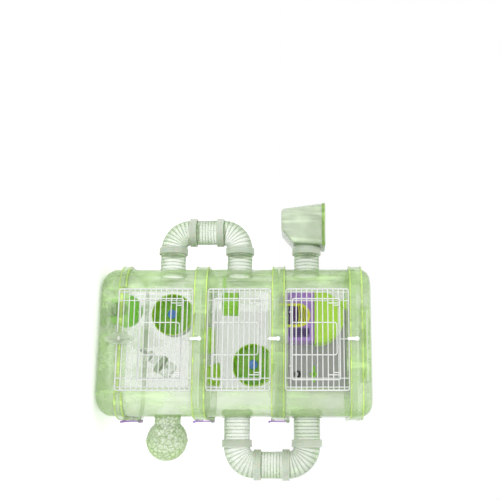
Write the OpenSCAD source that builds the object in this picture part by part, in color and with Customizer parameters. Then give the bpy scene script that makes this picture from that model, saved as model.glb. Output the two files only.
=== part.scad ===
// Three-storey hamster tower of clear green plastic: stacked shells with wire fronts,
// outside tubes, a lookout pod, a play ball and the furniture inside.
// The tower stands on z = 0, its front faces -Y, and the origin is under its middle.

/* [Tower] */
// Width of the tower's walls, side to side
tower_w = 296; // [270:1:356]
// Depth of the tower's walls, front to back
tower_d = 226; // [200:1:272]
// Radius of the upright corners
corner_r = 48; // [40:1:56]
// Thickness of the moulded walls
wall = 2; // [1.6:0.1:2.4]

/* [Storeys] */
// Height of the base tray up to its joint
base_h = 52; // [46:1:64]
// Height from one joint to the next
storey_pitch = 154; // [150:1:186]
// Height of a joint band between storeys
band_h = 26; // [22:1:28]
// Height of the band on the base tray
base_band_h = 16; // [14:1:20]
// How far a band stands out from the walls
band_proud = 5; // [4:0.5:6]
// How far a band's lips stand out from the band
lip_proud = 1.5; // [1:0.1:2]
// Height of a band's lips
lip_h = 3; // [2:0.5:4]
// Thickness of the storey floors
floor_t = 3; // [2:0.5:4]
// Rounding under the base tray
base_edge_r = 34; // [24:1:40]
// Height of the cap above its joint
cap_h = 31; // [28:1:38]
// Rounding along the cap's top edge
cap_edge_r = 22; // [16:1:24]

/* [Wire fronts and doors] */
// Width of a wire front, middle to middle of its side wires
grille_w = 198; // [180:1:200]
// Width of a door, middle to middle of its side wires
door_w = 158; // [130:1:162]
// Diameter of the thin wires
wire_d = 2; // [1.8:0.1:2.2]
// Diameter of the frame wires
frame_wire_d = 3; // [2.6:0.1:3.2]
// Largest distance between two cross wires
wire_step = 10.8; // [9.6:0.1:12]
// How far the lowest front hangs down over the base tray's band
grille_drop = 7; // [6:0.5:7.5]
// Length of the two spring hooks on a door
hook_len = 24; // [18:1:28]

/* [Tubes] */
// Outer diameter of the tubes
tube_d = 54; // [46:1:58]
// Thickness of the tube walls
tube_wall = 1.6; // [1.2:0.1:2]
// Distance from the tower's middle to the upright run of a loop
loop_x = 243; // [238:1:260]
// Bend radius of the elbows, along the middle of the tube
elbow_r = 38; // [34:1:40]
// Length of a connecting ring
ring_w = 15; // [12:1:18]
// Thickness of a connecting ring
ring_t = 4; // [3:0.5:5]
// Height of the lowest ports above their joint
port_rise = 79; // [76:1:80]
// How much lower a port sits in each next storey
port_drop = 11; // [8:1:11]

/* [Pod and ball] */
// Width of the lookout pod
pod_w = 89; // [80:1:100]
// Height of the lookout pod, with its lid
pod_h = 94; // [90:1:104]
// Depth of the lookout pod
pod_d = 78; // [70:1:90]
// Outer radius of the play ball
ball_r = 42; // [38:1:46]

/* [Wheels] */
// Outer radius of the running wheels
wheel_r = 45; // [38:1:46]
// Width of the running surface
wheel_w = 40; // [30:1:44]
// Diameter of a wheel's axle
axle_d = 8; // [6:0.5:10]

/* [Furniture] */
// Width of the house
house_w = 102; // [90:1:106]
// Depth of the house
house_d = 84; // [70:1:90]
// Height of the house walls
house_h = 72; // [66:1:76]
// Widest radius of the dome hut
hut_r = 36; // [32:1:38]
// Height of the dome hut
hut_h = 63; // [58:1:74]
// Outer radius of the water bottle
bottle_r = 17; // [15:1:20]
// Length of the water bottle's body
bottle_len = 44; // [40:1:50]
// Bore of the bottle port's grommet
port_bore_d = 8; // [6:0.5:9]

/* [Latches and handle] */
// Width of a side latch
latch_w = 22; // [18:1:26]
// Distance from a latch's pin down to its hook
latch_len = 31; // [30:0.5:34]
// Diameter of the latch pins
latch_pin_d = 3; // [2.5:0.1:3.2]
// Distance between the two pivots of the carry handle
handle_w = 128; // [110:1:140]
// Reach of the carry handle from its pivots
handle_reach = 44; // [38:1:48]
// Diameter of the carry handle's pins
handle_pin_d = 5; // [4:0.5:5.5]
// Half the height of the turn clip that holds the lowest front
clip_half_h = 30; // [26:1:31]

/* [Hidden] */
$fn = 64;

// Clearances and small overlaps
wall_fit = 0.2;
tube_fit = 0.12;
pin_fit = 0.06;
side_gap = 0.3;
cut = 1;
weld = 0.4;

// Heights of the joints, bands and ports
function joint_z(i) = base_h + i * storey_pitch;
function band_low(i) = joint_z(i) - (i == 0 ? base_band_h : band_h) / 2;
function band_high(i) = joint_z(i) + (i == 0 ? base_band_h : band_h) / 2;
function floor_top(i) = i == 0 ? wall : joint_z(i) + floor_t / 2;
function port_z(i) = joint_z(i) + port_rise - i * port_drop;
top_z = joint_z(3) + cap_h;
front_y = -tower_d / 2;
back_y = tower_d / 2 - wall;
side_x = tower_w / 2;

// Wire fronts
grille_y = front_y - frame_wire_d / 2 - side_gap;
upright_y = front_y - wire_d / 2 - side_gap - 0.25;
cross_y = upright_y - wire_d + weld;
door_y = cross_y - wire_d - 1.2;
stiffener_y = door_y - wire_d + weld;
function grille_low(i) = i == 0 ? base_h - grille_drop : band_high(i) + frame_wire_d / 2 + side_gap;
function grille_high(i) = band_low(i + 1) - frame_wire_d / 2 - side_gap;
function gaps(i) = ceil((grille_high(i) - grille_low(i)) / wire_step);
function wire_z(i, k) = grille_low(i) + k * (grille_high(i) - grille_low(i)) / gaps(i);
function sill(i) = i == 0 ? 4 : 1;
function lintel(i) = gaps(i) - 2;
opening_w = door_w - 6;
notch_w = grille_w + frame_wire_d + 5;

// Turn clip on the front of the base tray
clip_y = cross_y - wire_d / 2 - side_gap;
clip_z = (wire_z(0, 0) + frame_wire_d / 4 + wire_z(0, 1)) / 2;
clip_pin_r = 3;
clip_half_w = 12;

// Tubes
tube_r = tube_d / 2;
bend_x = loop_x - elbow_r;
ring_x = bend_x - 4.5;

// Pod and ball
pod_right = -ring_x - ring_w / 2 - 2;
lid_over = 2;
lid_hinge_y = pod_d / 2 + lid_over + 3.6;
pod_left = pod_right - pod_w;
pod_low = port_z(2) - pod_h / 2 - 7;
lid_h = 7;
lid_low = pod_low + pod_h - lid_h;
lid_hinge_z = lid_low + lid_h - 3;
ball_x = side_x + ball_r + 4;

// Wheels, with their rear discs' places
wheel_back_y = 76;
wheel_front_y = wheel_back_y - wheel_w;
wheel_disc_t = 2.5;
hub_r = axle_d / 2 + 4;
lower_wheel_at = [-70, 0, base_h + 75];
middle_wheel_at = [38, 0, joint_z(1) + 97];

// Carry handle
pocket_w = handle_w + 24;
pocket_low = top_z - 14;
pivot_y = 14;
pivot_z = top_z - 7;
handle_bar = 8;
pocket_front = pivot_y - handle_reach - handle_bar / 2 - 3;
pocket_back = pivot_y + 9;

// Latches
latch_t = 2.6;
latch_x = side_x + band_proud + lip_proud + 0.5 + latch_t / 2;
latch_barrel_r = latch_pin_d / 2 + 2;
function latch_z(i) = band_low(i) + latch_len;

// Furniture
house_x = -58;
house_front = -20;
roof_r = house_w / 2 + 4;
bottle_tilt = 36;
bottle_at = [22, 40, base_h + 32];
port_at = [53, back_y, joint_z(2) + 38];
hut_at = [-75, 20];
cup_at = [-90, 20];

// Rounded outline of the tower, grown or shrunk
module outline(grow) {
    w = tower_w + 2 * grow;
    d = tower_d + 2 * grow;
    r = corner_r + grow;
    square([w - 2 * r, d], center = true);
    square([w, d - 2 * r], center = true);
    for (x = [-1, 1], y = [-1, 1])
        translate([x * (w / 2 - r), y * (d / 2 - r)]) circle(r = r);
}

// Slab of the outline between two heights
module slab(low, high, grow) {
    translate([0, 0, low]) linear_extrude(height = high - low) outline(grow);
}

// Upright wall that follows the outline
module band_wall(low, high, outer, inner) {
    translate([0, 0, low]) linear_extrude(height = high - low) difference() {
        outline(outer);
        outline(inner);
    }
}

// Lip that stands out along an edge of a band
module lip(low, inner) {
    band_wall(low, low + lip_h, band_proud + lip_proud, inner);
}

// Rounded block whose lower edge (below) or upper edge (not below) is filleted
module filleted_block(low, high, grow, edge_r, below) {
    r = corner_r + grow;
    steps = 8;
    arc = [for (k = [0:steps]) let (a = 90 * k / steps)
        [r - edge_r + edge_r * sin(a), below ? low + edge_r - edge_r * cos(a) : high - edge_r + edge_r * cos(a)]];
    side = below ? [[r, high], [0, high], [0, low]] : [[r, low], [0, low], [0, high]];
    hull() for (x = [-1, 1], y = [-1, 1])
        translate([x * (tower_w / 2 - corner_r), y * (tower_d / 2 - corner_r), 0])
            rotate_extrude($fn = 32) polygon(concat(arc, side));
}

// Cylinder along X, from one x to another
module rod_x(x0, x1, r) {
    translate([x0, 0, 0]) rotate([0, 90, 0]) cylinder(r = r, h = x1 - x0);
}

// Cylinder along Y, from one y to another
module rod_y(y0, y1, r) {
    translate([0, y0, 0]) rotate([-90, 0, 0]) cylinder(r = r, h = y1 - y0);
}

// Pipe along X
module pipe_x(x0, x1, r, t) {
    difference() {
        rod_x(x0, x1, r);
        rod_x(x0 - cut, x1 + cut, r - t);
    }
}

// Base tray, whose band has a notch that the lowest wire front sits in
module base_tray() {
    color([0.78, 0.92, 0.66]) union() {
        difference() {
            filleted_block(0, base_h, 0, base_edge_r, true);
            filleted_block(wall, base_h + cut, -wall, base_edge_r - wall, true);
        }
        difference() {
            union() {
                band_wall(band_low(0), base_h, band_proud, -wall / 2);
                band_wall(base_h, band_high(0), band_proud, wall_fit);
                lip(band_low(0), -wall / 2);
                lip(band_high(0) - lip_h, wall_fit);
            }
            translate([-notch_w / 2, front_y - 2 * band_proud, band_low(0) - cut])
                cube([notch_w, 2 * band_proud, base_band_h + 2 * cut]);
        }
    }
}

// Ears on the right wall that hold a latch's pin
module latch_ears(i) {
    for (y = [-1, 1]) translate([0, y * (latch_w / 2 + side_gap + 1.5), latch_z(i)]) difference() {
        union() {
            rotate([-90, 0, 0]) translate([latch_x, 0, -1.5]) cylinder(r = latch_barrel_r, h = 3);
            translate([side_x - wall / 2, -1.5, -latch_barrel_r])
                cube([latch_x - side_x + wall / 2, 3, 2 * latch_barrel_r]);
        }
        translate([latch_x, 0, 0]) rod_y(-1.5 - cut, 1.5 + cut, latch_pin_d / 2);
    }
}

// Walls of one storey, with its front window and its tube ports
module storey_shell(i, left_port, right_port) {
    window_low = max(grille_low(i), band_high(i)) + 5;
    difference() {
        band_wall(i == 0 ? base_h : joint_z(i) + floor_t / 2, i == 2 ? joint_z(3) : joint_z(i + 1) - floor_t / 2, 0, -wall);
        translate([-grille_w / 2 + 6, front_y - cut, window_low])
            cube([grille_w - 12, wall + 2 * cut, grille_high(i) - 5 - window_low]);
        for (x = [-1, 1]) if ((x < 0 && left_port) || (x > 0 && right_port))
            translate([x * side_x, 0, port_z(i)]) rod_x(-wall - cut, wall + cut, tube_r + tube_fit);
        if (i == 2) translate([port_at[0], 0, port_at[2]]) rod_y(back_y - cut, back_y + wall + cut, port_bore_d / 2 + 2);
    }
    latch_ears(i);
}

module lower_shell() {
    color([0.86, 0.95, 0.78]) union() storey_shell(0, true, true);
}

module middle_shell() {
    color([0.86, 0.95, 0.78]) union() storey_shell(1, true, true);
}

module upper_shell() {
    color([0.86, 0.95, 0.78]) union() storey_shell(2, true, true);
}

// Floor between two storeys, in one piece with the band around it
module storey_floor(i) {
    color([0.8, 0.93, 0.66]) union() {
        band_wall(band_low(i), band_high(i), band_proud, wall_fit);
        lip(band_low(i), wall_fit);
        lip(band_high(i) - lip_h, wall_fit);
        slab(joint_z(i) - floor_t / 2, joint_z(i) + floor_t / 2, band_proud / 2);
    }
}

module lower_floor() {
    storey_floor(1);
}

module upper_floor() {
    storey_floor(2);
}

// Domed cap with a pocket that the carry handle folds into
module top_cap() {
    pocket_d = pocket_back - pocket_front;
    color([0.8, 0.93, 0.68]) difference() {
        union() {
            difference() {
                filleted_block(joint_z(3), top_z, 0, cap_edge_r, false);
                filleted_block(joint_z(3) - cut, top_z - wall, -wall, cap_edge_r - wall, false);
            }
            band_wall(joint_z(3), band_high(3), band_proud, -wall / 2);
            band_wall(band_low(3), joint_z(3), band_proud, wall_fit);
            lip(band_low(3), wall_fit);
            lip(band_high(3) - lip_h, -wall / 2);
            translate([-pocket_w / 2 - wall, pocket_front - wall, pocket_low - wall])
                cube([pocket_w + 2 * wall, pocket_d + 2 * wall, top_z - pocket_low + wall / 2]);
        }
        translate([-pocket_w / 2, pocket_front, pocket_low]) cube([pocket_w, pocket_d, top_z]);
    }
}

// Handle that lies in the cap's pocket and swings up on two pins
module carry_handle() {
    x = handle_w / 2;
    bar_y = pivot_y - handle_reach;
    color([0.72, 0.86, 0.4]) difference() {
        union() {
            for (s = [-1, 1]) translate([s * x, pivot_y, pivot_z]) {
                rod_x(-handle_bar / 2, handle_bar / 2, handle_pin_d / 2 + 2.5);
                translate([-handle_bar / 2, -handle_reach, -2.5]) cube([handle_bar, handle_reach, 5]);
            }
            translate([-x - handle_bar / 2, bar_y - handle_bar / 2, pivot_z - 2.5]) cube([2 * x + handle_bar, handle_bar, 5]);
        }
        for (s = [-1, 1]) translate([s * x, pivot_y, pivot_z]) rod_x(-handle_bar, handle_bar, handle_pin_d / 2 + pin_fit);
    }
}

module handle_pins() {
    inner = handle_w / 2 - handle_bar / 2 - 2;
    color([0.9, 0.9, 0.9]) {
        translate([0, pivot_y, pivot_z]) rod_x(inner, pocket_w / 2, handle_pin_d / 2);
        translate([0, pivot_y, pivot_z]) rod_x(-pocket_w / 2, -inner, handle_pin_d / 2);
    }
}

// Upright wire
module wire_up(x, y, z0, z1, d) {
    translate([x, y, z0]) cylinder(d = d, h = z1 - z0);
}

// Level wire
module wire_across(x0, x1, y, z, d) {
    translate([0, y, z]) rod_x(x0, x1, d / 2);
}

// Closed rectangle of wire with ball-ended corners
module wire_frame(w, y, z0, z1, d) {
    for (x = [-1, 1]) wire_up(x * w / 2, y, z0, z1, d);
    for (z = [z0, z1]) wire_across(-w / 2, w / 2, y, z, d);
    for (x = [-1, 1], z = [z0, z1]) translate([x * w / 2, y, z]) sphere(d = d);
}

// Wire front of one storey, welded up around the door's opening
module grille(i) {
    low = grille_low(i);
    high = grille_high(i);
    color([0.96, 0.96, 0.96]) union() {
        wire_frame(grille_w, grille_y, low, high, frame_wire_d);
        for (x = [-1, 1]) {
            wire_up(x * (grille_w / 2 - 6), upright_y, low, high, wire_d);
            wire_up(x * opening_w / 2, upright_y, low, high, wire_d);
        }
        wire_up(0, upright_y, wire_z(i, lintel(i)), high, wire_d);
        for (k = [1:gaps(i) - 1]) {
            if (k <= sill(i) || k >= lintel(i))
                wire_across(-grille_w / 2, grille_w / 2, cross_y, wire_z(i, k), wire_d);
            else for (x = [-1, 1])
                wire_across(x < 0 ? -grille_w / 2 : opening_w / 2 - 1.5, x < 0 ? -opening_w / 2 + 1.5 : grille_w / 2,
                    cross_y, wire_z(i, k), wire_d);
        }
    }
}

module lower_grille() {
    grille(0);
}

module middle_grille() {
    grille(1);
}

module upper_grille() {
    grille(2);
}

// Door that drops down around the sill wire, with two spring hooks at its top
module wire_door(i) {
    hinge_z = wire_z(i, sill(i));
    low = hinge_z + 2.8;
    high = wire_z(i, lintel(i)) + 2.6;
    rows = lintel(i) - sill(i) - 1;
    loop_r = wire_d / 2 + 0.5 + wire_d / 2;
    hook_x = door_w / 2 - 9;
    color([0.98, 0.98, 0.98]) union() {
        wire_frame(door_w, door_y, low, high, wire_d + 0.4);
        for (k = [1:rows]) wire_across(-door_w / 2, door_w / 2, door_y, wire_z(i, sill(i) + k), wire_d);
        for (x = [-1, 1]) {
            wire_up(x * door_w / 5, stiffener_y, low, high - 6, wire_d);
            translate([x * door_w / 3, cross_y, hinge_z]) rotate([0, 90, 0])
                rotate_extrude($fn = 32) translate([loop_r, 0]) circle(d = wire_d, $fn = 16);
            wire_up(x * hook_x, stiffener_y, high - hook_len, high, wire_d);
            translate([x * hook_x, stiffener_y, high]) sphere(d = wire_d);
        }
        wire_across(-door_w / 5, door_w / 5, stiffener_y, high - 6, wire_d);
    }
}

module lower_door() {
    wire_door(0);
}

module middle_door() {
    wire_door(1);
}

module upper_door() {
    wire_door(2);
}

// White clips on the bands that hold the top edges of the wire fronts
module grille_clips() {
    face_y = front_y - band_proud;
    color([0.97, 0.97, 0.97]) for (i = [1:3]) translate([0, 0, joint_z(i)]) {
        rod_y(face_y - 3, face_y, 3.5);
        translate([-3, face_y - 4.5, -band_h / 2 - 5]) cube([6, 2, band_h / 2 + 8]);
        rod_y(face_y - 5.5, face_y - 2.5, 4.5);
    }
}

// Lens-shaped clip that locks the lowest wire front onto the base tray
module turn_clip() {
    arc_r = (clip_half_h * clip_half_h + clip_half_w * clip_half_w) / (2 * clip_half_w);
    color([0.93, 0.96, 0.92]) translate([0, 0, clip_z]) difference() {
        union() {
            intersection() {
                translate([arc_r - clip_half_w, 0, 0]) rod_y(clip_y - 5.8, clip_y - 3.2, arc_r);
                translate([clip_half_w - arc_r, 0, 0]) rod_y(clip_y - 5.8, clip_y - 3.2, arc_r);
            }
            rod_y(clip_y - 8, clip_y, clip_pin_r + 4);
            translate([-1.5, clip_y - 12, -clip_half_h * 0.7]) cube([3, 7, clip_half_h * 1.4]);
        }
        rod_y(clip_y - 10.5, clip_y + cut, clip_pin_r + pin_fit);
    }
}

// Pin that stands out of the base tray's front, between two wires
module turn_clip_pin() {
    color([0.9, 0.9, 0.9]) translate([0, 0, clip_z]) rod_y(clip_y - 10, front_y, clip_pin_r);
}

// Snap lever that hangs over a band and hooks under it
module latch(i) {
    z = latch_z(i);
    color([0.6, 0.52, 0.86]) difference() {
        union() {
            translate([latch_x, 0, z]) rod_y(-latch_w / 2, latch_w / 2, latch_barrel_r);
            translate([latch_x - latch_t / 2, -latch_w / 2, z - latch_len - 8]) cube([latch_t, latch_w, latch_len + 8]);
            translate([side_x + 1.5, -latch_w / 2, z - latch_len - 3.3])
                cube([latch_x - side_x - 1.5, latch_w, 3]);
            translate([latch_x + 1.5, 0, z - latch_len - 7]) rod_y(-latch_w / 2, latch_w / 2, 2);
        }
        translate([latch_x, 0, z]) rod_y(-latch_w, latch_w, latch_pin_d / 2 + pin_fit);
    }
}

module lower_latch() {
    latch(0);
}

module middle_latch() {
    latch(1);
}

module upper_latch() {
    latch(2);
}

module latch_pins() {
    half = latch_w / 2 + side_gap + 3;
    color([0.9, 0.9, 0.9]) for (i = [0:2]) translate([latch_x, 0, latch_z(i)]) rod_y(-half, half, latch_pin_d / 2);
}

// Short tube from a side wall to the first ring of a loop; side is -1 for left, 1 for right
module tube_stub(side, i, inside) {
    color([0.88, 0.95, 0.84]) mirror([side < 0 ? 1 : 0, 0, 0]) translate([0, 0, port_z(i)]) union() {
        pipe_x(side_x - wall - inside, ring_x, tube_r, tube_wall);
        pipe_x(side_x, side_x + 2, tube_r + 3, tube_wall + 3);
    }
}

// Elbow between a stub and the upright run; turn is 1 upward and -1 downward
module tube_elbow(side, i, turn) {
    color([0.9, 0.96, 0.86]) mirror([side < 0 ? 1 : 0, 0, 0]) translate([0, 0, port_z(i)]) union() {
        pipe_x(ring_x, bend_x, tube_r, tube_wall);
        translate([bend_x, 0, turn * elbow_r]) rotate([90, 0, 0]) rotate([0, 0, turn > 0 ? -90 : 0])
            rotate_extrude(angle = 90) translate([elbow_r, 0]) difference() {
                circle(r = tube_r);
                circle(r = tube_r - tube_wall);
            }
        translate([loop_x, 0, turn > 0 ? elbow_r : -elbow_r - 4.5]) difference() {
            cylinder(r = tube_r, h = 4.5);
            translate([0, 0, -cut]) cylinder(r = tube_r - tube_wall, h = 4.5 + 2 * cut);
        }
    }
}

// Upright tube between the two elbows of a loop
module middle_tube(side, i) {
    low = port_z(i) + elbow_r + 4.5;
    high = port_z(i + 1) - elbow_r - 4.5;
    color([0.88, 0.95, 0.84]) translate([side * loop_x, 0, low]) difference() {
        cylinder(r = tube_r, h = high - low);
        translate([0, 0, -cut]) cylinder(r = tube_r - tube_wall, h = high - low + 2 * cut);
    }
}

// Connecting ring around the z axis, centred on z = 0
module ring() {
    rotate_extrude() translate([tube_r + tube_fit, 0]) polygon([
        [0, -ring_w / 2], [ring_t - 1.2, -ring_w / 2], [ring_t, -ring_w / 2 + 1.2],
        [ring_t, ring_w / 2 - 1.2], [ring_t - 1.2, ring_w / 2], [0, ring_w / 2]]);
}

// The four rings of a loop
module loop_rings(side, i) {
    color([0.93, 0.94, 0.93]) {
        for (k = [i, i + 1]) translate([side * ring_x, 0, port_z(k)]) rotate([0, 90, 0]) ring();
        translate([side * loop_x, 0, port_z(i) + elbow_r + 4.5]) ring();
        translate([side * loop_x, 0, port_z(i + 1) - elbow_r - 4.5]) ring();
    }
}

module left_lower_stub() {
    tube_stub(-1, 0, 3);
}

module left_lower_elbow() {
    tube_elbow(-1, 0, 1);
}

module left_middle_tube() {
    middle_tube(-1, 0);
}

module left_upper_elbow() {
    tube_elbow(-1, 1, -1);
}

module left_upper_stub() {
    tube_stub(-1, 1, 3);
}

module left_rings() {
    loop_rings(-1, 0);
}

module right_lower_stub() {
    tube_stub(1, 1, 14);
}

module right_lower_elbow() {
    tube_elbow(1, 1, 1);
}

module right_middle_tube() {
    middle_tube(1, 1);
}

module right_upper_elbow() {
    tube_elbow(1, 2, -1);
}

module right_upper_stub() {
    tube_stub(1, 2, 14);
}

module right_rings() {
    loop_rings(1, 1);
}

// Nuts that clamp the right-hand stubs from inside the wall
module wall_nuts() {
    color([0.94, 0.95, 0.94]) for (i = [1, 2]) translate([side_x - wall - 12, 0, port_z(i)])
        pipe_x(0, 12, tube_r + 5, 5 - tube_fit);
}

module pod_stub() {
    tube_stub(-1, 2, 3);
}

// Ring that joins the pod's neck to its stub
module pod_ring() {
    color([0.93, 0.94, 0.93]) translate([-ring_x, 0, port_z(2)]) rotate([0, 90, 0]) ring();
}

// Round bar along Y, a corner of the pod's outline
module pod_corner(x, z, r, d) {
    translate([x, -d / 2, z]) rotate([-90, 0, 0]) cylinder(r = r, h = d, $fn = 32);
}

// Solid wedge of the pod, shrunk by a wall thickness
module pod_wedge(t, high, d) {
    r = 9 - t;
    hull() {
        pod_corner(pod_left + 9, high - r, r, d);
        pod_corner(pod_right - 9, high - r, r, d);
        pod_corner(pod_left + 20, pod_low + 9, r, d);
        pod_corner(pod_right - 36, pod_low + 9, r, d);
        pod_corner(pod_right - 11, pod_low + 30, r, d);
    }
}

// Clear lookout box with a neck towards the tube
module pod_body() {
    color([0.84, 0.94, 0.82]) difference() {
        union() {
            intersection() {
                pod_wedge(0, lid_low + 9, pod_d);
                translate([pod_left - cut, -pod_d, pod_low - cut])
                    cube([pod_w + 2 * cut, 2 * pod_d, lid_low - pod_low + cut]);
            }
            translate([0, 0, port_z(2)]) rod_x(pod_right - 8, -ring_x, tube_r);
        }
        pod_wedge(wall, lid_low + 12, pod_d - 2 * wall);
        translate([0, 0, port_z(2)]) rod_x(pod_right - 20, -ring_x + cut, tube_r - tube_wall);
    }
}

// Lid with a rim, hinged along the pod's rear edge
module pod_lid() {
    color([0.45, 0.72, 0.36]) difference() {
        union() {
            translate([pod_left - lid_over, -pod_d / 2 - lid_over, lid_low])
                cube([pod_w + 2 * lid_over, pod_d + 2 * lid_over, lid_h]);
            translate([pod_left + 12, pod_d / 2, lid_hinge_z - 3]) cube([pod_w - 24, lid_hinge_y - pod_d / 2, 6]);
            translate([0, lid_hinge_y, lid_hinge_z]) rod_x(pod_left + 12, pod_right - 12, 3);
        }
        translate([pod_left + 2, -pod_d / 2 + 2, lid_low - cut]) cube([pod_w - 4, pod_d - 4, lid_h - wall + cut]);
        translate([0, lid_hinge_y, lid_hinge_z]) rod_x(pod_left, pod_right, 1 + pin_fit);
    }
}

// Pin of the lid, with two ears that stand out from the pod's rear wall
module pod_hinge_pin() {
    foot = 16;
    color([0.84, 0.94, 0.82]) union() {
        translate([0, lid_hinge_y, lid_hinge_z]) rod_x(pod_left + 8, pod_right - 8, 1);
        for (x = [pod_left + 8.5, pod_right - 11.5]) {
            translate([x, lid_hinge_y, lid_hinge_z]) rod_x(0, 3, 3);
            translate([x, lid_hinge_y - 3, lid_hinge_z - foot]) cube([3, 6, foot]);
            translate([x, pod_d / 2, lid_hinge_z - foot]) cube([3, lid_hinge_y - pod_d / 2, 8]);
        }
    }
}

// Half of the play ball next to the tower, with its neck through the wall
module ball_neck_half() {
    neck_in = side_x - wall - 3;
    color([0.8, 0.93, 0.76]) translate([0, 0, port_z(0)]) difference() {
        union() {
            intersection() {
                translate([ball_x, 0, 0]) sphere(r = ball_r);
                translate([ball_x - 2 * ball_r, -ball_r, -ball_r]) cube([2 * ball_r, 2 * ball_r, 2 * ball_r]);
            }
            rod_x(neck_in, ball_x - ball_r + 12, tube_r);
            rod_x(ball_x - 3, ball_x, ball_r + 1.5);
        }
        translate([ball_x, 0, 0]) sphere(r = ball_r - tube_wall);
        rod_x(neck_in - cut, ball_x, tube_r - tube_wall);
    }
}

module ball_cap_half() {
    color([0.8, 0.93, 0.76]) translate([ball_x, 0, port_z(0)]) difference() {
        union() {
            intersection() {
                sphere(r = ball_r);
                translate([0, -ball_r, -ball_r]) cube([2 * ball_r, 2 * ball_r, 2 * ball_r]);
            }
            rod_x(0, 3, ball_r + 1.5);
        }
        sphere(r = ball_r - tube_wall);
    }
}

// Bracket on the back wall with the axle that a wheel runs on
module wheel_stand(at) {
    color([0.93, 0.95, 0.93]) translate(at) union() {
        rod_y(back_y - 4, back_y, 20);
        rod_y(wheel_back_y + side_gap, back_y - 3, 9);
        rod_y(wheel_front_y - side_gap, wheel_back_y + 2, axle_d / 2);
    }
}

// Running wheel: closed disc at the back, open front, hub tube on the axle
module running_wheel(at) {
    color([0.35, 0.74, 0.2]) translate(at) difference() {
        union() {
            difference() {
                rod_y(wheel_front_y, wheel_back_y, wheel_r);
                rod_y(wheel_front_y - cut, wheel_back_y - wheel_disc_t, wheel_r - 2);
            }
            rod_y(wheel_front_y, wheel_back_y, hub_r);
        }
        rod_y(wheel_front_y - cut, wheel_back_y + cut, axle_d / 2 + pin_fit);
    }
}

module lower_wheel_stand() {
    wheel_stand(lower_wheel_at);
}

module lower_wheel() {
    running_wheel(lower_wheel_at);
}

module middle_wheel_stand() {
    wheel_stand(middle_wheel_at);
}

module middle_wheel() {
    running_wheel(middle_wheel_at);
}

// Caps pressed on the axles' ends, which keep the wheels on
module hub_caps() {
    color([0.42, 0.6, 0.9]) for (at = [lower_wheel_at, middle_wheel_at]) translate(at)
        rod_y(wheel_front_y - side_gap - 6, wheel_front_y - side_gap, hub_r + 2);
}

door_arch_r = 22;
door_arch_x = house_x - 2;

// Arched doorway as a solid bar through the house's front
module arch(r, y0, y1) {
    translate([door_arch_x, 0, floor_top(2) + 38]) rod_y(y0, y1, r);
    translate([door_arch_x - r, y0, floor_top(2) + wall]) cube([2 * r, y1 - y0, 38 - wall]);
}

// Four walls of the house, with its doorway and a window
module house_walls() {
    z0 = floor_top(2);
    color([0.72, 0.62, 0.88]) difference() {
        translate([house_x - house_w / 2, house_front, z0]) cube([house_w, house_d, house_h]);
        translate([house_x - house_w / 2 + wall, house_front + wall, z0 - cut])
            cube([house_w - 2 * wall, house_d - 2 * wall, house_h + 2 * cut]);
        arch(door_arch_r, house_front - cut, house_front + wall + cut);
        translate([house_x + house_w / 2 - 25, house_front - cut, z0 + 20]) cube([16, wall + 2 * cut, 40]);
    }
}

// Yellow-green frame around the doorway
module house_arch() {
    color([0.8, 0.85, 0.2]) difference() {
        arch(door_arch_r + 3, house_front - 3, house_front);
        arch(door_arch_r - 3, house_front - 3 - cut, house_front + cut);
        translate([door_arch_x - 19, house_front - 4, floor_top(2) - cut]) cube([38, 5, wall + 2 * cut]);
    }
}

// Vaulted roof with a small chimney
module house_roof() {
    z0 = floor_top(2) + house_h;
    y0 = house_front - 4;
    y1 = house_front + house_d + 4;
    color([0.55, 0.82, 0.16]) translate([house_x, 0, z0]) difference() {
        union() {
            translate([0, 0, 8]) rod_y(y0, y1, roof_r);
            translate([-roof_r + 16, y0 + 8, 8]) cube([22, 22, roof_r + 4]);
        }
        intersection() {
            translate([0, 0, 8]) rod_y(y0 + wall, y1 - wall, roof_r - wall);
            translate([-roof_r, y0, 8]) cube([2 * roof_r, y1 - y0, roof_r]);
        }
        translate([-roof_r - cut, y0 - cut, -roof_r - cut])
            cube([2 * roof_r + 2 * cut, y1 - y0 + 2 * cut, roof_r + cut]);
        translate([-house_w / 2 + wall, house_front + wall, -cut])
            cube([house_w - 2 * wall, house_d - 2 * wall, 10]);
    }
}

// Outline of the hut's wall: a flared foot, then a dome
function hut_outline(t) = let (foot = hut_h - hut_r)
    concat([[hut_r - 10 - t, 0], [hut_r - t, foot]], [for (a = [15:15:90]) [(hut_r - t) * cos(a), foot + (hut_r - t) * sin(a)]]);

// Domed hut on the base tray's floor, with an arched doorway
module dome_hut() {
    inner = hut_outline(wall);
    color([0.3, 0.66, 0.22]) translate([hut_at[0], hut_at[1], wall]) difference() {
        rotate_extrude() polygon(concat(hut_outline(0), [for (k = [len(inner) - 1:-1:0]) inner[k]]));
        translate([0, 0, 24]) rod_y(-hut_r - cut, 0, 15);
        translate([-15, -hut_r - cut, -cut]) cube([30, hut_r + cut, 25]);
    }
}

// Ribbed cup that hangs on the left wall
module food_cup() {
    r = 26;
    color([0.42, 0.74, 0.2]) translate([cup_at[0], cup_at[1], joint_z(1) + 31]) difference() {
        union() {
            cylinder(r = r, h = 34);
            translate([-side_x + wall - cup_at[0], -10, 0]) cube([side_x - wall + cup_at[0] - r + 3, 20, 6]);
        }
        translate([0, 0, wall]) cylinder(r = r - wall, h = 34);
    }
}

// Round dish with a thick rim, standing on a storey's floor
module dish(x, y, r, h) {
    translate([x, y, floor_top(1)]) rotate_extrude() polygon([
        [0, 0], [r - 5, 0], [r, h - 2], [r, h], [r - 3, h], [r - 8, 3], [0, 3]]);
}

module food_dish() {
    color([0.6, 0.82, 0.3]) dish(60, 30, 26, 24);
}

module sand_dish() {
    color([0.72, 0.86, 0.35]) dish(-5, -40, 29, 18);
}

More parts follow.
